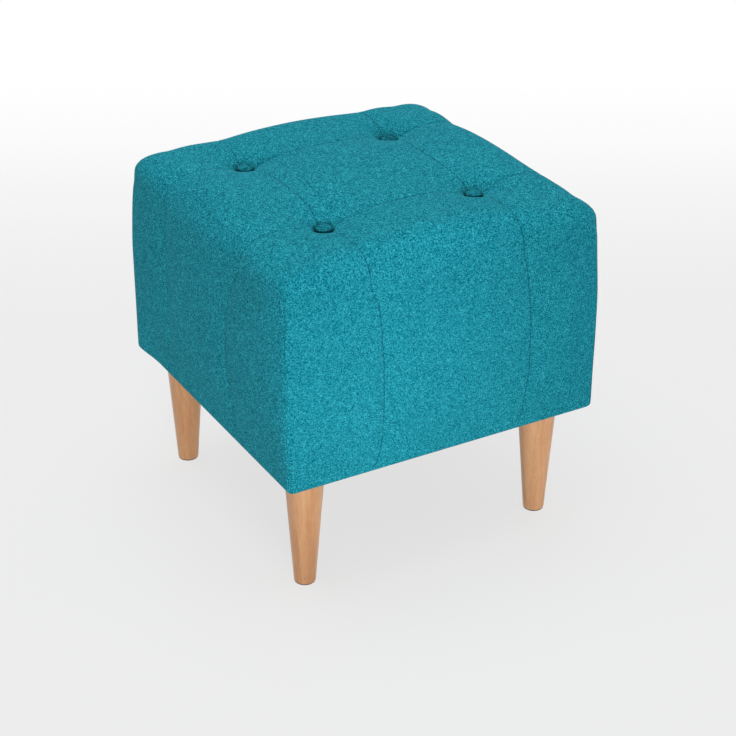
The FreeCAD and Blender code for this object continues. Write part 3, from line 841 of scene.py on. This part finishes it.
def stray(side, along, z):
    # how far a point of a wall is carried along with its wandering seams
    share = np.clip((z - hemLevel) / (wallTop - hemLevel), 0, 1)
    moved = np.zeros_like(along)
    for which, seam in (("first", -tuftPlace), ("second", tuftPlace)):
        shift = np.zeros_like(along)
        for number, table in cover["stray"].items():
            shift = np.where(side == number, np.interp(share, table["at"], table[which]), shift)
        reach = np.where((along - seam) * seam > 0, cover["strayOutward"], cover["strayInward"])
        moved += shift * hump(along - seam, reach) ** 2
    return moved


def wallRows():
    # rings of the cover below the top: height, half width and corner radius
    hemRadius, hemHalf, hemCorner = body["hemRadius"], body["hemHalf"], body["hemCornerRadius"]
    rows = []
    count = round((wallTop - hemLevel - hemRadius) / cover["wallStep"])
    for share in np.linspace(0, 1, count + 1)[1:]:
        z = wallTop + share * (hemLevel + hemRadius - wallTop)
        rows.append((z, wallHalfAt(z), hemCorner + (body["cornerRadius"] - hemCorner) * (1 - share)))
    for turn in (30, 60, 90):
        angle = math.radians(turn)
        tuck = hemRadius * (1 - math.cos(angle))
        rows.append((hemLevel + hemRadius * (1 - math.sin(angle)), hemHalf - tuck, hemCorner - tuck))
    for share in (0.25, 0.5, 0.75, 1.0):
        tuck = hemRadius + share * (body["hemWidth"] - hemRadius)
        rows.append((hemLevel, hemHalf - tuck, max(0.002, hemCorner - tuck)))
    return rows


def panelFill(a, b):
    # how far the stuffing pushes out a panel of the top: between the seams, and over the edge
    fill = cover["fill"]
    acrossA, acrossB = hump(a, tuftPlace), hump(b, tuftPlace)
    pastA, pastB = (np.clip((np.abs(c) - tuftPlace) / (clothHalf - tuftPlace), 0, 1) for c in (a, b))
    downA, downB = (1 - smoothStep(past, *fill["fall"]) * (1 - fill["wall"] / fill["edge"])
                    for past in (pastA, pastB))
    riseA, riseB = (smoothStep(past, *fill["rise"]) for past in (pastA, pastB))
    edge = fill["edge"] * (acrossA * riseB * downB + acrossB * riseA * downA)
    corner = fill["corner"] * np.sin(pastA * math.pi) * np.sin(pastB * math.pi)
    rightEdge = smoothStep(a, *fill["rightRun"]) * (1 - smoothStep(pastA, *fill["fall"]))
    for seam, rise in ((-tuftPlace, fill["frontRise"]), (tuftPlace, -fill["backSink"])):
        edge = edge + rise * rightEdge * np.exp(-((b - seam) / fill["seamRun"]) ** 2)
    return fill["centre"] * acrossA * acrossB + edge + corner


def wallFill(along, z):
    # the same on a side, less and less down to the hem
    fill = cover["fill"]
    share = np.clip((z - hemLevel) / (wallTop - hemLevel), 0, 1)
    past = np.clip((np.abs(along) - tuftPlace) / (clothHalf - tuftPlace), 0, 1)
    swell = hump(along, tuftPlace) + fill["outerShare"] * np.sin(past * math.pi)
    return fill["wall"] * swell * smoothStep(share, *fill["wallUp"])


def sewnCover():
    # the mesh of the cover: a square top, and rings that go down round it and under, with its facts
    farAway = cover["farAway"]
    lines = clothLines()
    n = len(lines) - 1  # squares along a side
    a, b = (c.ravel() for c in roundTufts(*np.meshgrid(lines, lines)))  # row j is b, column i is a
    over = (np.minimum(np.abs(a), np.abs(b)) - flatHalf) / reachOver  # the corner seams start on the top
    points = [topPoint(a, b)]
    facts = {
        "seamA": [np.abs(np.abs(a) - tuftPlace)],
        "seamB": [np.abs(np.abs(b) - tuftPlace)],
        "fill": [panelFill(a, b)],
        "tuftAway": [np.hypot(np.abs(a) - tuftPlace, np.abs(b) - tuftPlace)],
        "cornerAway": [np.where(over > 0, np.abs(np.abs(a) - np.abs(b)) * cover["cornerShare"], farAway)],
        "depth": [np.where(over > 0, -(1 - np.clip(over, 0, 1)) * reachOver, -farAway)],
    }
    faces = [(j * (n + 1) + i, j * (n + 1) + i + 1, (j + 1) * (n + 1) + i + 1, (j + 1) * (n + 1) + i)
             for j in range(n) for i in range(n)]
    ring = [(0, i) for i in range(n)] + [(j, n) for j in range(n)]
    ring += [(n, i) for i in range(n, 0, -1)] + [(j, 0) for j in range(n, 0, -1)]
    above = [j * (n + 1) + i for j, i in ring]
    side = np.repeat(np.arange(4), n)
    along = np.tile(lines[:-1], 4)
    away = np.abs(np.abs(along) - tuftPlace)
    gone = 0.0
    lastPlace = (wallTop, wallHalfAt(wallTop))
    start = (n + 1) ** 2
    for z, half, radius in wallRows():
        gone += math.hypot(z - lastPlace[0], half - lastPlace[1])
        lastPlace = (z, half)
        points.append(wallPoint(side, along + stray(side, along, z), z, half, radius))
        for name, values in (("seamA", np.where(side % 2 == 0, away, farAway)),
                             ("seamB", np.where(side % 2 == 1, away, farAway)),
                             ("fill", wallFill(along, z)), ("tuftAway", np.full(4 * n, 2 * farAway)),
                             ("cornerAway", clothHalf - np.abs(along)), ("depth", np.full(4 * n, gone))):
            facts[name].append(values)
        below = [start + m for m in range(4 * n)]
        for m in range(4 * n):
            k = (m + 1) % (4 * n)
            faces.append((above[m], below[m], below[k], above[k]))
        above = below
        start += 4 * n
    piece = newPiece("padded_cover", np.concatenate(points), faces, coverCloth)
    for name, parts in facts.items():
        setAttribute(piece.data, name, np.concatenate(parts))
    return piece


def tuftDips(points):
    # pulls the top down to the buttons: soft dips that run out along the seams, and a well round each button
    x, y = points[:, 0], points[:, 1]
    moved = points.copy()
    up = smoothStep(points[:, 2], wallTop, body["crown"] - body["tuftFull"])
    spread = body["tuftSpread"]
    for sx in (-1, 1):
        for sy in (-1, 1):
            dx, dy = x - sx * tuftPlace, y - sy * tuftPlace
            away = np.hypot(dx, dy)
            alongX, alongY = ((d / np.maximum(away, 1e-6)) ** 4 for d in (dx, dy))
            run = spread + (body["tuftRunX"] - spread) * alongX + (body["tuftRunY"] - spread) * alongY
            moved[:, 2] -= up * body["tuftDepth"] * np.exp(-np.maximum(away - body["wellRadius"], 0) / run)
    for corner, lift in buttonSizes["lift"].items():
        sx, sy = (1 if "right" in corner else -1), (1 if "back" in corner else -1)
        away = np.hypot(x - sx * tuftPlace, y - sy * tuftPlace)
        well = 1 - stepFrom(away, body["wellRadius"], body["wellSlope"])
        # the cloth lies close under the middle of the button, and lower round its rim
        seat = buttonBox[1].z + lift - buttonSizes["dome"] - buttonSizes["rimHeight"] - buttonSizes["gap"]
        seat = seat - buttonSizes["moat"] * smoothStep(away, *buttonSizes["moatRun"])
        moved[:, 2] += well * (seat - moved[:, 2])
    return moved


def holdCloth(piece, start):
    # how strongly each point is held: at the seams, the corners, the tufts and the hem
    hold = cover["hold"]
    seamA, seamB, tuft, corner, depth = getAttributes(piece.data, *heldBy)
    atSeam = 1 - smoothStep(np.minimum(seamA, seamB), *hold["seamRun"])
    atCorner = hold["corner"] * (1 - smoothStep(corner, *hold["cornerRun"]))
    weight = np.maximum(hold["free"], hold["seam"] * atSeam)
    weight = np.maximum(weight, atCorner * smoothStep(depth, *hold["cornerStart"]))
    weight = np.maximum(weight, 1 - smoothStep(tuft, *hold["tuftRun"]))
    weight = np.maximum(weight, hold["hem"] * stepFrom(-start[:, 2], -hemLevel, hold["hemRun"]))
    weight[start[:, 2] < hemLevel + body["hemRadius"] + hold["hemMargin"]] = 1
    held = piece.vertex_groups.new(name="held")
    for step in range(101):
        chosen = np.nonzero(np.round(weight * 100) == step)[0]
        if len(chosen):
            held.add(chosen.tolist(), step / 100, "REPLACE")


def padOut(piece):
    # the foam pushes the cloth out between the seams: a cloth simulation
    start = pointsOf(piece.data)
    holdCloth(piece, start)
    modifier = piece.modifiers.new("padding", "CLOTH")
    for name, value in cover["cloth"].items():
        setattr(modifier.settings, name, value)
    modifier.settings.effector_weights.gravity = 0
    modifier.collision_settings.use_collision = False
    modifier.collision_settings.use_self_collision = False
    modifier.point_cache.frame_start = 1
    modifier.point_cache.frame_end = cover["frames"]
    for number in range(1, cover["frames"] + 1):
        bpy.context.scene.frame_set(number)
    settle(piece)
    bpy.context.scene.frame_set(1)
    moved = pointsOf(piece.data) - start
    length = np.linalg.norm(moved, axis=1)
    print("simulated puff, mm: most", round(1000 * length.max(), 2), "mean", round(1000 * length.mean(), 2))
    most = cover["mostPuff"]
    soft = most * np.tanh(length / most) / np.maximum(length, 1e-9)
    setPoints(piece.data, start + moved * soft[:, None])


def sewSeams(piece):
    # presses the seams in, deeper towards the buttons, once the mesh is fine enough; then works out where
    # painted shade goes along the seams and round the buttons
    seams, paintedShades = cover["seams"], cover["paintedShades"]
    mesh = piece.data
    points, normals = pointsOf(mesh), normalsOf(mesh)
    x, y, z = points.T
    seamA, seamB, tuft, corner, depth = getAttributes(mesh, *heldBy)
    hemmed = stepFrom(z, hemLevel, seams["hemEnd"])
    outside = smoothStep(tuft, *seams["outside"])
    gap = np.maximum(tuft - body["wellRadius"], 0)
    near = np.exp(-gap / seams["pinchRun"]) * smoothStep(tuft, *seams["pinchFrom"])
    onTop = stepFrom(z, wallTop, seams["topRun"])
    behindX, behindY = (smoothStep(np.abs(c) - tuftPlace, *seams["behind"]) * (c > 0)
                        + smoothStep(tuftPlace - np.abs(c), *seams["behind"]) * (c < 0) for c in (x, y))
    farRow = smoothStep(y, *seams["farRow"])
    # A stands for the seams that run along Y, and B for those that run along X
    pullA = near * (seams["pullY"][0] + seams["pullY"][1] * behindY)
    pullB = near * (seams["pullX"][0] + seams["pullX"][1] * behindX)
    pullB = pullB * (seams["pullXRow"][0] + seams["pullXRow"][1] * farRow)
    showA = seams["showY"][0] + seams["showY"][1] * pullA
    showB = (seams["showX"][0] + seams["showX"][1] * onTop) * (1 + seams["showX"][2] * pullB)
    press = np.zeros(len(points))
    for seam, pull, show in ((seamA, pullA, showA), (seamB, pullB, showB)):
        width = seams["width"] * (1 + seams["widen"] * pull)
        deep = seams["depth"] * show + seams["pinch"] * pull
        press = np.maximum(press, deep * np.exp(-(seam / width) ** 2) * outside)
    faded = 1 - seams["cornerFaded"] * smoothStep(depth, *seams["cornerFade"])
    shown = smoothStep(depth, *seams["cornerFrom"]) * faded
    press = np.maximum(press, seams["depth"] * np.exp(-(corner / seams["width"]) ** 2) * shown)
    setPoints(mesh, points - normals * (press * hemmed)[:, None])
    # how strongly painted shade shows along each seam, darker where a seam is pulled deeper
    strength = np.where(seamA <= seamB, showA, showB) * outside
    strength = np.where(corner <= np.minimum(seamA, seamB), seams["cornerShow"] * shown, strength)
    setAttribute(mesh, "seamAway", np.minimum(np.minimum(seamA, seamB), corner))
    setAttribute(mesh, "seamPaintedShadeStrength", strength * hemmed)
    # painted shade round each button: a close dark ring, and a wide soft patch behind it
    behind = smoothStep(y - np.sign(y) * tuftPlace, *paintedShades["behind"])
    farWide = paintedShades["wideFar"] + paintedShades["wideFarRight"] * smoothStep(x, *paintedShades["rightSide"])
    wide = (paintedShades["wide"] + farRow * farWide) * behind
    close = np.exp(-gap / (paintedShades["close"] + paintedShades["closeBehind"] * behind + paintedShades["closeFar"] * farRow))
    setAttribute(mesh, "paintedTuftShade", np.maximum(close, wide * np.exp(-gap / paintedShades["wideRun"])))


def makeCover():
    piece = sewnCover()
    plain = settled(pointsOf(piece.data))
    setPoints(piece.data, plain)
    stood = plain + normalsOf(piece.data) * getAttributes(piece.data, "fill")[0][:, None]
    setPoints(piece.data, tuftDips(stood))
    padOut(piece)
    finer = piece.modifiers.new("finer", "SUBSURF")
    finer.levels = finer.render_levels = 1
    settle(piece)
    sewSeams(piece)
    wall = piece.modifiers.new("cloth", "SOLIDIFY")
    wall.thickness = cover["thickness"]
    wall.offset = -1
    wall.use_rim = True
    settle(piece)
    for name in (*heldBy, "fill"):
        piece.data.attributes.remove(piece.data.attributes[name])
    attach(piece, "root")
    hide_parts("fabric_cover")
    return piece


paddedCover = makeCover()
print("cover sewn", len(paddedCover.data.polygons), "faces")


# The buttons

def turnedPiece(name, outline, segments, centre, material):
    # revolves (radius, height) points that run from the top of the axis to its bottom
    points, faces, rows = [], [], []
    for radius, height in outline:
        if radius < 1e-7:
            rows.append([len(points)])
            points.append((*centre, height))
            continue
        rows.append([len(points) + step for step in range(segments)])
        for step in range(segments):
            angle = 2 * math.pi * step / segments
            points.append((centre[0] + radius * math.cos(angle), centre[1] + radius * math.sin(angle),
                           height))
    for upper, lower in zip(rows, rows[1:]):
        for step in range(segments):
            after = (step + 1) % segments
            if len(upper) == 1:
                faces.append((upper[0], lower[step], lower[after]))
            elif len(lower) == 1:
                faces.append((upper[step], lower[0], upper[after]))
            else:
                faces.append((upper[step], lower[step], lower[after], upper[after]))
    return newPiece(name, points, faces, material)


def makeButtons():
    # covered buttons: a dome, a rounded rim, and the cloth gathered in under it
    sizes = buttonSizes
    for corner in corners:
        low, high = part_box("tuft_button_" + corner)
        centre = ((low.x + high.x) / 2, (low.y + high.y) / 2)
        radius = (high.x - low.x) / 2 * sizes["snug"]
        top = high.z + sizes["lift"][corner]
        rim = top - sizes["dome"]
        back = rim - sizes["rimHeight"]
        sphere = (radius ** 2 + sizes["dome"] ** 2) / (2 * sizes["dome"])
        outline = []
        for step in range(sizes["domeSteps"] + 1):
            r = radius * sizes["domeShare"] * step / sizes["domeSteps"]
            outline.append((r, top - sphere + math.sqrt(sphere ** 2 - r ** 2)))
        edge = sizes["rimRound"]
        for turn in range(1, sizes["rimSteps"] + 1):
            angle = math.radians(sizes["rimTurn"][0] + sizes["rimTurn"][1] * turn / sizes["rimSteps"])
            outline.append((radius - edge + edge * math.sin(angle), back + edge + edge * math.cos(angle)))
        outline += [(radius * sizes["gatherShare"], back + sizes["gatherUp"]),
                    (sizes["shank"], back - sizes["shankTop"]),
                    (sizes["shank"], back - sizes["shankEnd"]), (0.0, back - sizes["shankEnd"])]
        piece = turnedPiece("covered_button_" + corner, outline, sizes["segments"], centre, buttonCloth)
        points = pointsOf(piece.data)
        # painted shade on the button: darker towards its rim and down its side, and darker over all where it
        # sits deep
        rimAway = radius - np.hypot(points[:, 0] - centre[0], points[:, 1] - centre[1])
        rimAway = np.minimum(rimAway, sizes["paintedShadeRun"][corner])
        below = points[:, 2] < rim - sizes["paintedShadeBelow"]
        setAttribute(piece.data, "rimAway", np.where(below, 0.0, rimAway))
        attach(piece, "root")
        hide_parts("tuft_button_" + corner)


makeButtons()
print("buttons made")


# The legs that show, which lean a little, as hand-set legs do

# how far each stands from its plain place, to the right and to the back, and how much paler its wood is
# painted, as painted light for the light that falls on that leg
legStand = {
    "front_left": {"top": (0.0, 0.0), "foot": (-0.0022, -0.0006), "paintedLightPaler": 0.02},
    "front_right": {"top": (-0.0032, 0.0), "foot": (-0.0014, 0.0), "paintedLightPaler": 0.22},
    "back_left": {"top": (-0.0014, 0.0), "foot": (-0.0033, 0.0), "paintedLightPaler": 0.09},
}


def standLegs():
    # a copy of the leg and of its glide, with the axis laid over
    for corner, stand in legStand.items():
        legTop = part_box("leg_" + corner)[1].z
        for part, slot in (("leg_", "beech"), ("leg_glide_", "glide_plastic")):
            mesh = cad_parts[part + corner].data.copy()
            points = pointsOf(mesh)
            share = points[:, 2:3] / legTop
            points[:, :2] += np.array(stand["foot"]) * (1 - share) + np.array(stand["top"]) * share
            setPoints(mesh, points)
            # painted light, as a paler wood on this leg
            setAttribute(mesh, "paintedLightPaler", np.full(len(points), stand["paintedLightPaler"]))
            piece = newObject("turned_" + part + corner, mesh)
            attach(piece, "root")
            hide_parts(part + corner)


standLegs()
print("legs set")


# Foam

foamSizes = {
    "inset": 0.0030,  # how far it lies in from the cover's place
    "step": 0.009,
    "rows": 20,  # of the side foams, from the hem to the seat board
    "tuftRelief": 0.008, "tuftReach": 0.026,
    "clear": 0.0002,  # between the side foams and the board
    "panelClear": 0.0003,
    "endClear": 0.0004,
}


def closedSlab(name, outer, inner):
    # a solid between two grids of points with the same rows and columns
    rows, columns = outer.shape[:2]
    points = np.concatenate([outer.reshape(-1, 3), inner.reshape(-1, 3)])
    back = rows * columns
    faces = []
    for j in range(rows - 1):
        for i in range(columns - 1):
            p = j * columns + i
            faces.append((p, p + 1, p + 1 + columns, p + columns))
            faces.append((back + p, back + p + columns, back + p + 1 + columns, back + p + 1))
    edge = [(0, i) for i in range(columns)] + [(j, columns - 1) for j in range(1, rows)]
    edge += [(rows - 1, i) for i in range(columns - 2, -1, -1)] + [(j, 0) for j in range(rows - 2, 0, -1)]
    edge = [j * columns + i for j, i in edge]
    for first, second in zip(edge, edge[1:] + edge[:1]):
        faces.append((first, back + first, back + second, second))
    piece = newPiece(name, points, faces, foam)
    mesh = bmesh.new()
    mesh.from_mesh(piece.data)
    bmesh.ops.recalc_face_normals(mesh, faces=mesh.faces)
    mesh.to_mesh(piece.data)
    mesh.free()
    return piece


def makeSeatFoam(lines, boardTop):
    # the seat foam on the board, pulled down at the tufts
    inset = foamSizes["inset"]
    a, b = np.meshgrid(lines, lines)
    top = tuftDips(settled(topPoint(a.ravel(), b.ravel())))
    top[:, :2] *= (wallHalf - inset) / wallHalf
    tuft = np.hypot(np.abs(top[:, 0]) - tuftPlace, np.abs(top[:, 1]) - tuftPlace)
    top[:, 2] -= inset + foamSizes["tuftRelief"] * np.exp(-(tuft / foamSizes["tuftReach"]) ** 2)
    top = top.reshape(len(lines), len(lines), 3)
    under = top.copy()
    under[..., 2] = boardTop
    seat = closedSlab("seat_cushion_foam", top, under)
    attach(seat, "root")
    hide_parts("seat_foam")


def makeSideFoam(lines, boardTop, panelOutside):
    # the front and back foams go round the corners, and the other two fit between them
    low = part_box("side_foam_front")[0].z
    end = panelOutside - foamSizes["endClear"]
    short = np.linspace(-end, end, len(lines))
    sides = (("front", 1, -1), ("right", 0, 1), ("back", 1, 1), ("left", 0, -1))
    for number, (side, axis, sign) in enumerate(sides):
        outer = []
        for z in np.linspace(low, boardTop - foamSizes["clear"], foamSizes["rows"]):
            half = wallHalfAt(z) - foamSizes["inset"]
            if axis == 1:
                outer.append(wallPoint(np.full(len(lines), number), lines, z, half, body["cornerRadius"]))
            else:
                outer.append(np.stack([sign * half + 0 * short, sign * short, z + 0 * short], -1))
        outer = settled(np.array(outer))
        inner = outer.copy()
        inner[..., axis] = sign * (panelOutside + foamSizes["panelClear"])
        piece = closedSlab("padding_foam_" + side, outer, inner)
        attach(piece, "root")
        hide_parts("side_foam_" + side)


def makeFoam():
    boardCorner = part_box("seat_board")[1]
    lines = np.linspace(-clothHalf, clothHalf, round(2 * clothHalf / foamSizes["step"]) + 1)
    makeSeatFoam(lines, boardCorner.z)
    makeSideFoam(lines, boardCorner.z, boardCorner.x)


makeFoam()
print("foam made")


# The dust cover under the seat

dustSheet = {
    "squares": 96,
    "sag": 0.0016,
    "thickness": 0.0003,
    "lift": 0.00028,  # of the sheet's upper face over the low side of its room
    "freeRun": (0.028, 0.075),  # where, from its edge in, it hangs free
    "plain": 0.55, "waved": 0.45,
    # waves per metre and starts of the cross waves and of the slanting ones, and their shares
    "cross": (78.5, 61.0, 0.6, 0.4), "slant": (33.0, 1.1, 0.6),
}


def makeDustCover():
    # a stapled sheet: flat where it lies on the hem, easing up a little where nothing backs it
    low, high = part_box("dust_cover")
    count = dustSheet["squares"]
    lines = np.linspace(low.x, high.x, count + 1)
    x, y = np.meshgrid(lines, lines)
    free = smoothStep(high.x - np.maximum(np.abs(x), np.abs(y)), *dustSheet["freeRun"])
    perX, perY, start, share = dustSheet["cross"]
    wave = np.sin(x * perX) * np.sin(y * perY + start) * share
    per, start, share = dustSheet["slant"]
    wave = wave + np.sin((x + y) * per + start) * share
    lifted = dustSheet["plain"] + dustSheet["waved"] * wave
    level = low.z + dustSheet["lift"] + free * dustSheet["sag"] * lifted
    starts = [j * (count + 1) + i for j in range(count) for i in range(count)]
    faces = [(p, p + count + 1, p + count + 2, p + 1) for p in starts]
    piece = newPiece("dust_cover_sheet", np.stack([x, y, level], -1).reshape(-1, 3), faces, dustCloth)
    wall = piece.modifiers.new("cloth", "SOLIDIFY")
    wall.thickness = dustSheet["thickness"]
    wall.offset = -1
    settle(piece)
    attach(piece, "root")
    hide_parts("dust_cover")


makeDustCover()
print("dust cover made")


# Staples, by Geometry Nodes

stapleSizes = {"Width": 0.010, "Wire": 0.0007, "Leg": 0.0078}
stapleRows = {"hem": 6, "dustCover": 5, "panel": 5, "margin": 0.012, "weld": 0.000001}


def stapleTree():
    # a staple at every point of a mesh, turned by the point's attributes
    tree = bpy.data.node_groups.new("stapleRows", "GeometryNodeTree")
    face = tree.interface
    face.new_socket(name="Points", in_out="INPUT", socket_type="NodeSocketGeometry")
    sockets = {}
    for label in ("Width", "Wire", "Leg", "Finish"):
        kind = "NodeSocketMaterial" if label == "Finish" else "NodeSocketFloat"
        sockets[label] = face.new_socket(name=label, in_out="INPUT", socket_type=kind).identifier
    face.new_socket(name="Staples", in_out="OUTPUT", socket_type="NodeSocketGeometry")
    given = tree.nodes.new("NodeGroupInput").outputs

    def bar(x, y, z, place):
        size = addNode(tree, "ShaderNodeCombineXYZ", {"X": x, "Y": y, "Z": z}).outputs[0]
        cube = addNode(tree, "GeometryNodeMeshCube", {"Size": size}).outputs["Mesh"]
        centre = addNode(tree, "ShaderNodeCombineXYZ", dict(zip("XYZ", place))).outputs[0]
        return addNode(tree, "GeometryNodeTransform", {"Geometry": cube, "Translation": centre}).outputs[0]

    wire, leg = given["Wire"], given["Leg"]
    halfWire = times(tree, wire, 0.5)
    endPlace = maths(tree, "SUBTRACT", times(tree, given["Width"], 0.5), halfWire)
    legMiddle = times(tree, leg, 0.5)
    between = maths(tree, "SUBTRACT", given["Width"], times(tree, wire, 2.0))
    join = tree.nodes.new("GeometryNodeJoinGeometry")
    for part in (bar(between, wire, wire, (0, 0, halfWire)), bar(wire, wire, leg, (endPlace, 0, legMiddle)),
                 bar(wire, wire, leg, (times(tree, endPlace, -1.0), 0, legMiddle))):
        tree.links.new(part, join.inputs[0])
    turn = addNode(tree, "GeometryNodeInputNamedAttribute", {"Name": "turn"}, data_type="FLOAT_VECTOR")
    turned = addNode(tree, "FunctionNodeEulerToRotation", {0: turn.outputs[0]}).outputs[0]
    inputs = {"Points": given["Points"], "Instance": join.outputs[0], "Rotation": turned}
    instances = addNode(tree, "GeometryNodeInstanceOnPoints", inputs).outputs[0]
    real = addNode(tree, "GeometryNodeRealizeInstances", {0: instances}).outputs[0]
    weld = addNode(tree, "GeometryNodeMergeByDistance", {"Geometry": real, "Distance": stapleRows["weld"]})
    inputs = {"Geometry": weld.outputs[0], "Material": given["Finish"]}
    done = addNode(tree, "GeometryNodeSetMaterial", inputs).outputs[0]
    addNode(tree, "NodeGroupOutput", {0: done})
    return tree, sockets


def staplesOf(name, node, places):
    # places are a list of ((x, y, z), (turn x, turn y, turn z))
    tree, sockets = stapleTreeAndSockets
    piece = newPiece(name, [place for place, turn in places], [])
    turns = piece.data.attributes.new("turn", "FLOAT_VECTOR", "POINT")
    turns.data.foreach_set("vector", np.array([turn for place, turn in places], float).ravel())
    modifier = piece.modifiers.new("staples", "NODES")
    modifier.node_group = tree
    for label, value in {**stapleSizes, "Finish": stapleSteel}.items():
        modifier[sockets[label]] = value
    settle(piece)
    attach(piece, "root")
    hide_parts(node)


def allSides(x, y, z, tip):
    # the same place on each of the four sides, with the turns of a staple there
    places = []
    for side in range(4):
        angle = side * math.pi / 2
        place = (x * math.cos(angle) - y * math.sin(angle), x * math.sin(angle) + y * math.cos(angle), z)
        places.append((place, (tip, 0, angle)))
    return places


def ringPlaces(node, count, reach):
    # a row along each side of the box of a node, its staples pointing up
    low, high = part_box(node)
    places = []
    for x in np.linspace(-reach, reach, count):
        places += allSides(x, stapleSizes["Wire"] / 2 - high.y, low.z, 0)
    return places


def panelPlaces():
    # two rows on each side, through the panels into the rails
    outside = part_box("panel_staples")[0].y
    rails = (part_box("bottom_rail_front"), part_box("top_rail_front"))
    reach = (rails[0][1].x - rails[0][0].x) / 2 - stapleRows["margin"]
    places = []
    for x in np.linspace(-reach, reach, stapleRows["panel"]):
        for low, high in rails:
            places += allSides(x, outside, (low.z + high.z) / 2, -math.pi / 2)
    return places


legLow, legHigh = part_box("leg_front_right")
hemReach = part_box("bottom_rail_front")[1].x - stapleRows["margin"]
dustReach = (legLow.x + legHigh.x) / 2 - (legHigh.x - legLow.x) / 2 - stapleRows["margin"]
stapleTreeAndSockets = stapleTree()
staplesOf("hem_staple_rows", "hem_staples", ringPlaces("hem_staples", stapleRows["hem"], hemReach))
staplesOf("dust_cover_staple_rows", "dust_cover_staples",
          ringPlaces("dust_cover_staples", stapleRows["dustCover"], dustReach))
staplesOf("panel_staple_rows", "panel_staples", panelPlaces())
print("staples made")


# Floor, lights and camera

floorFacts = {
    "size": 14.0, "colour": (0.80, 0.80, 0.80), "roughness": 0.55,
    "plain": 0.75,  # the share of plain white in the floor near by
    "behind": (0.49, 0.87),  # the direction, across the floor, in which it fades to white
    "fade": (0.35, 1.6),  # from where to where, that way
    "wideFade": (1.6, 3.0),  # and in any direction
    "nearWhite": 0.92,  # how bright that white is near by
}


def makeFloor():
    size = floorFacts["size"] / 2
    points = [(-size, -size, 0), (size, -size, 0), (size, size, 0), (-size, size, 0)]
    piece = newPiece("floor", points, [(0, 1, 2, 3)])
    material, tree, shader = newMaterial("paleFloor", Roughness=floorFacts["roughness"],
                                         Base_Color=(*floorFacts["colour"], 1))
    place = objectPlace(tree)
    distance = addNode(tree, "ShaderNodeVectorMath", {0: place}, operation="LENGTH").outputs["Value"]
    sideways, backwards = (times(tree, apart(tree, place)[axis], share)
                           for axis, share in zip("XY", floorFacts["behind"]))
    plain = floorFacts["plain"]
    behind = rangeOf(tree, plus(tree, sideways, backwards), *floorFacts["fade"], plain, 1.0, True)
    far = maths(tree, "MAXIMUM", behind, rangeOf(tree, distance, *floorFacts["wideFade"], smooth=True))
    whiteness = rangeOf(tree, far, plain, 1.0, floorFacts["nearWhite"], 1.0)
    white = addNode(tree, "ShaderNodeEmission", {"Color": (1, 1, 1, 1), "Strength": whiteness}).outputs[0]
    inputs = {0: times(tree, far, seenRays(tree)), 1: shader.outputs[0], 2: white}
    mix = addNode(tree, "ShaderNodeMixShader", inputs)
    tree.links.new(mix.outputs[0], tree.nodes["Material Output"].inputs["Surface"])
    piece.data.materials.append(material)


studio = {
    "world": 0.44,
    "lamps": {
        "key": {"place": (-0.55, -1.75, 0.50), "aim": (-0.085, -0.2, 0.26), "size": 0.5, "power": 0.535,
                "spread": 28},
        "fill": {"place": (2.2, -1.4, 1.2), "aim": (0, 0, 0.25), "size": 2.0, "power": 4.0, "spread": 180},
        "top": {"place": (-0.2, 0.2, 2.6), "aim": (0, 0, 0.25), "size": 2.2, "power": 24.0, "spread": 180},
    },
}


def makeLights():
    world = bpy.data.worlds.new("studio")
    bpy.context.scene.world = world
    world.use_nodes = True
    tree = world.node_tree
    strength = rangeOf(tree, seenRays(tree), 0.0, 1.0, studio["world"], 1.0)
    back = tree.nodes["Background"]
    back.inputs["Color"].default_value = (1, 1, 1, 1)
    tree.links.new(strength, back.inputs["Strength"])
    for name, facts in studio["lamps"].items():
        lamp = bpy.data.lights.new(name + "Light", "AREA")
        lamp.shape = "DISK"
        lamp.size = facts["size"]
        lamp.spread = math.radians(facts["spread"])
        lamp.energy = facts["power"]
        holder = newObject(name + "Light", lamp)
        holder.location = facts["place"]
        x, y, z = np.array(facts["aim"]) - np.array(facts["place"])
        holder.rotation_euler = (math.atan2(math.hypot(x, y), -z), 0, math.atan2(y, x) - math.pi / 2)


photoCamera = {"place": (-1.0623, -1.8985, 1.3562), "fromAbove": 28.60, "toTheRight": 29.56, "lens": 93.7,
               "sensor": 36, "clip": (0.05, 50)}


def makeCamera():
    lens = bpy.data.cameras.new("photoCamera")
    lens.lens = photoCamera["lens"]
    lens.sensor_width = photoCamera["sensor"]
    lens.clip_start, lens.clip_end = photoCamera["clip"]
    holder = newObject("photoCamera", lens)
    holder.location = photoCamera["place"]
    tip, turn = 90 - photoCamera["fromAbove"], -photoCamera["toTheRight"]
    holder.rotation_euler = (math.radians(tip), 0, math.radians(turn))
    bpy.context.scene.camera = holder


makeFloor()
makeLights()
makeCamera()
bpy.context.scene.view_settings.view_transform = "Standard"

print("scene made")
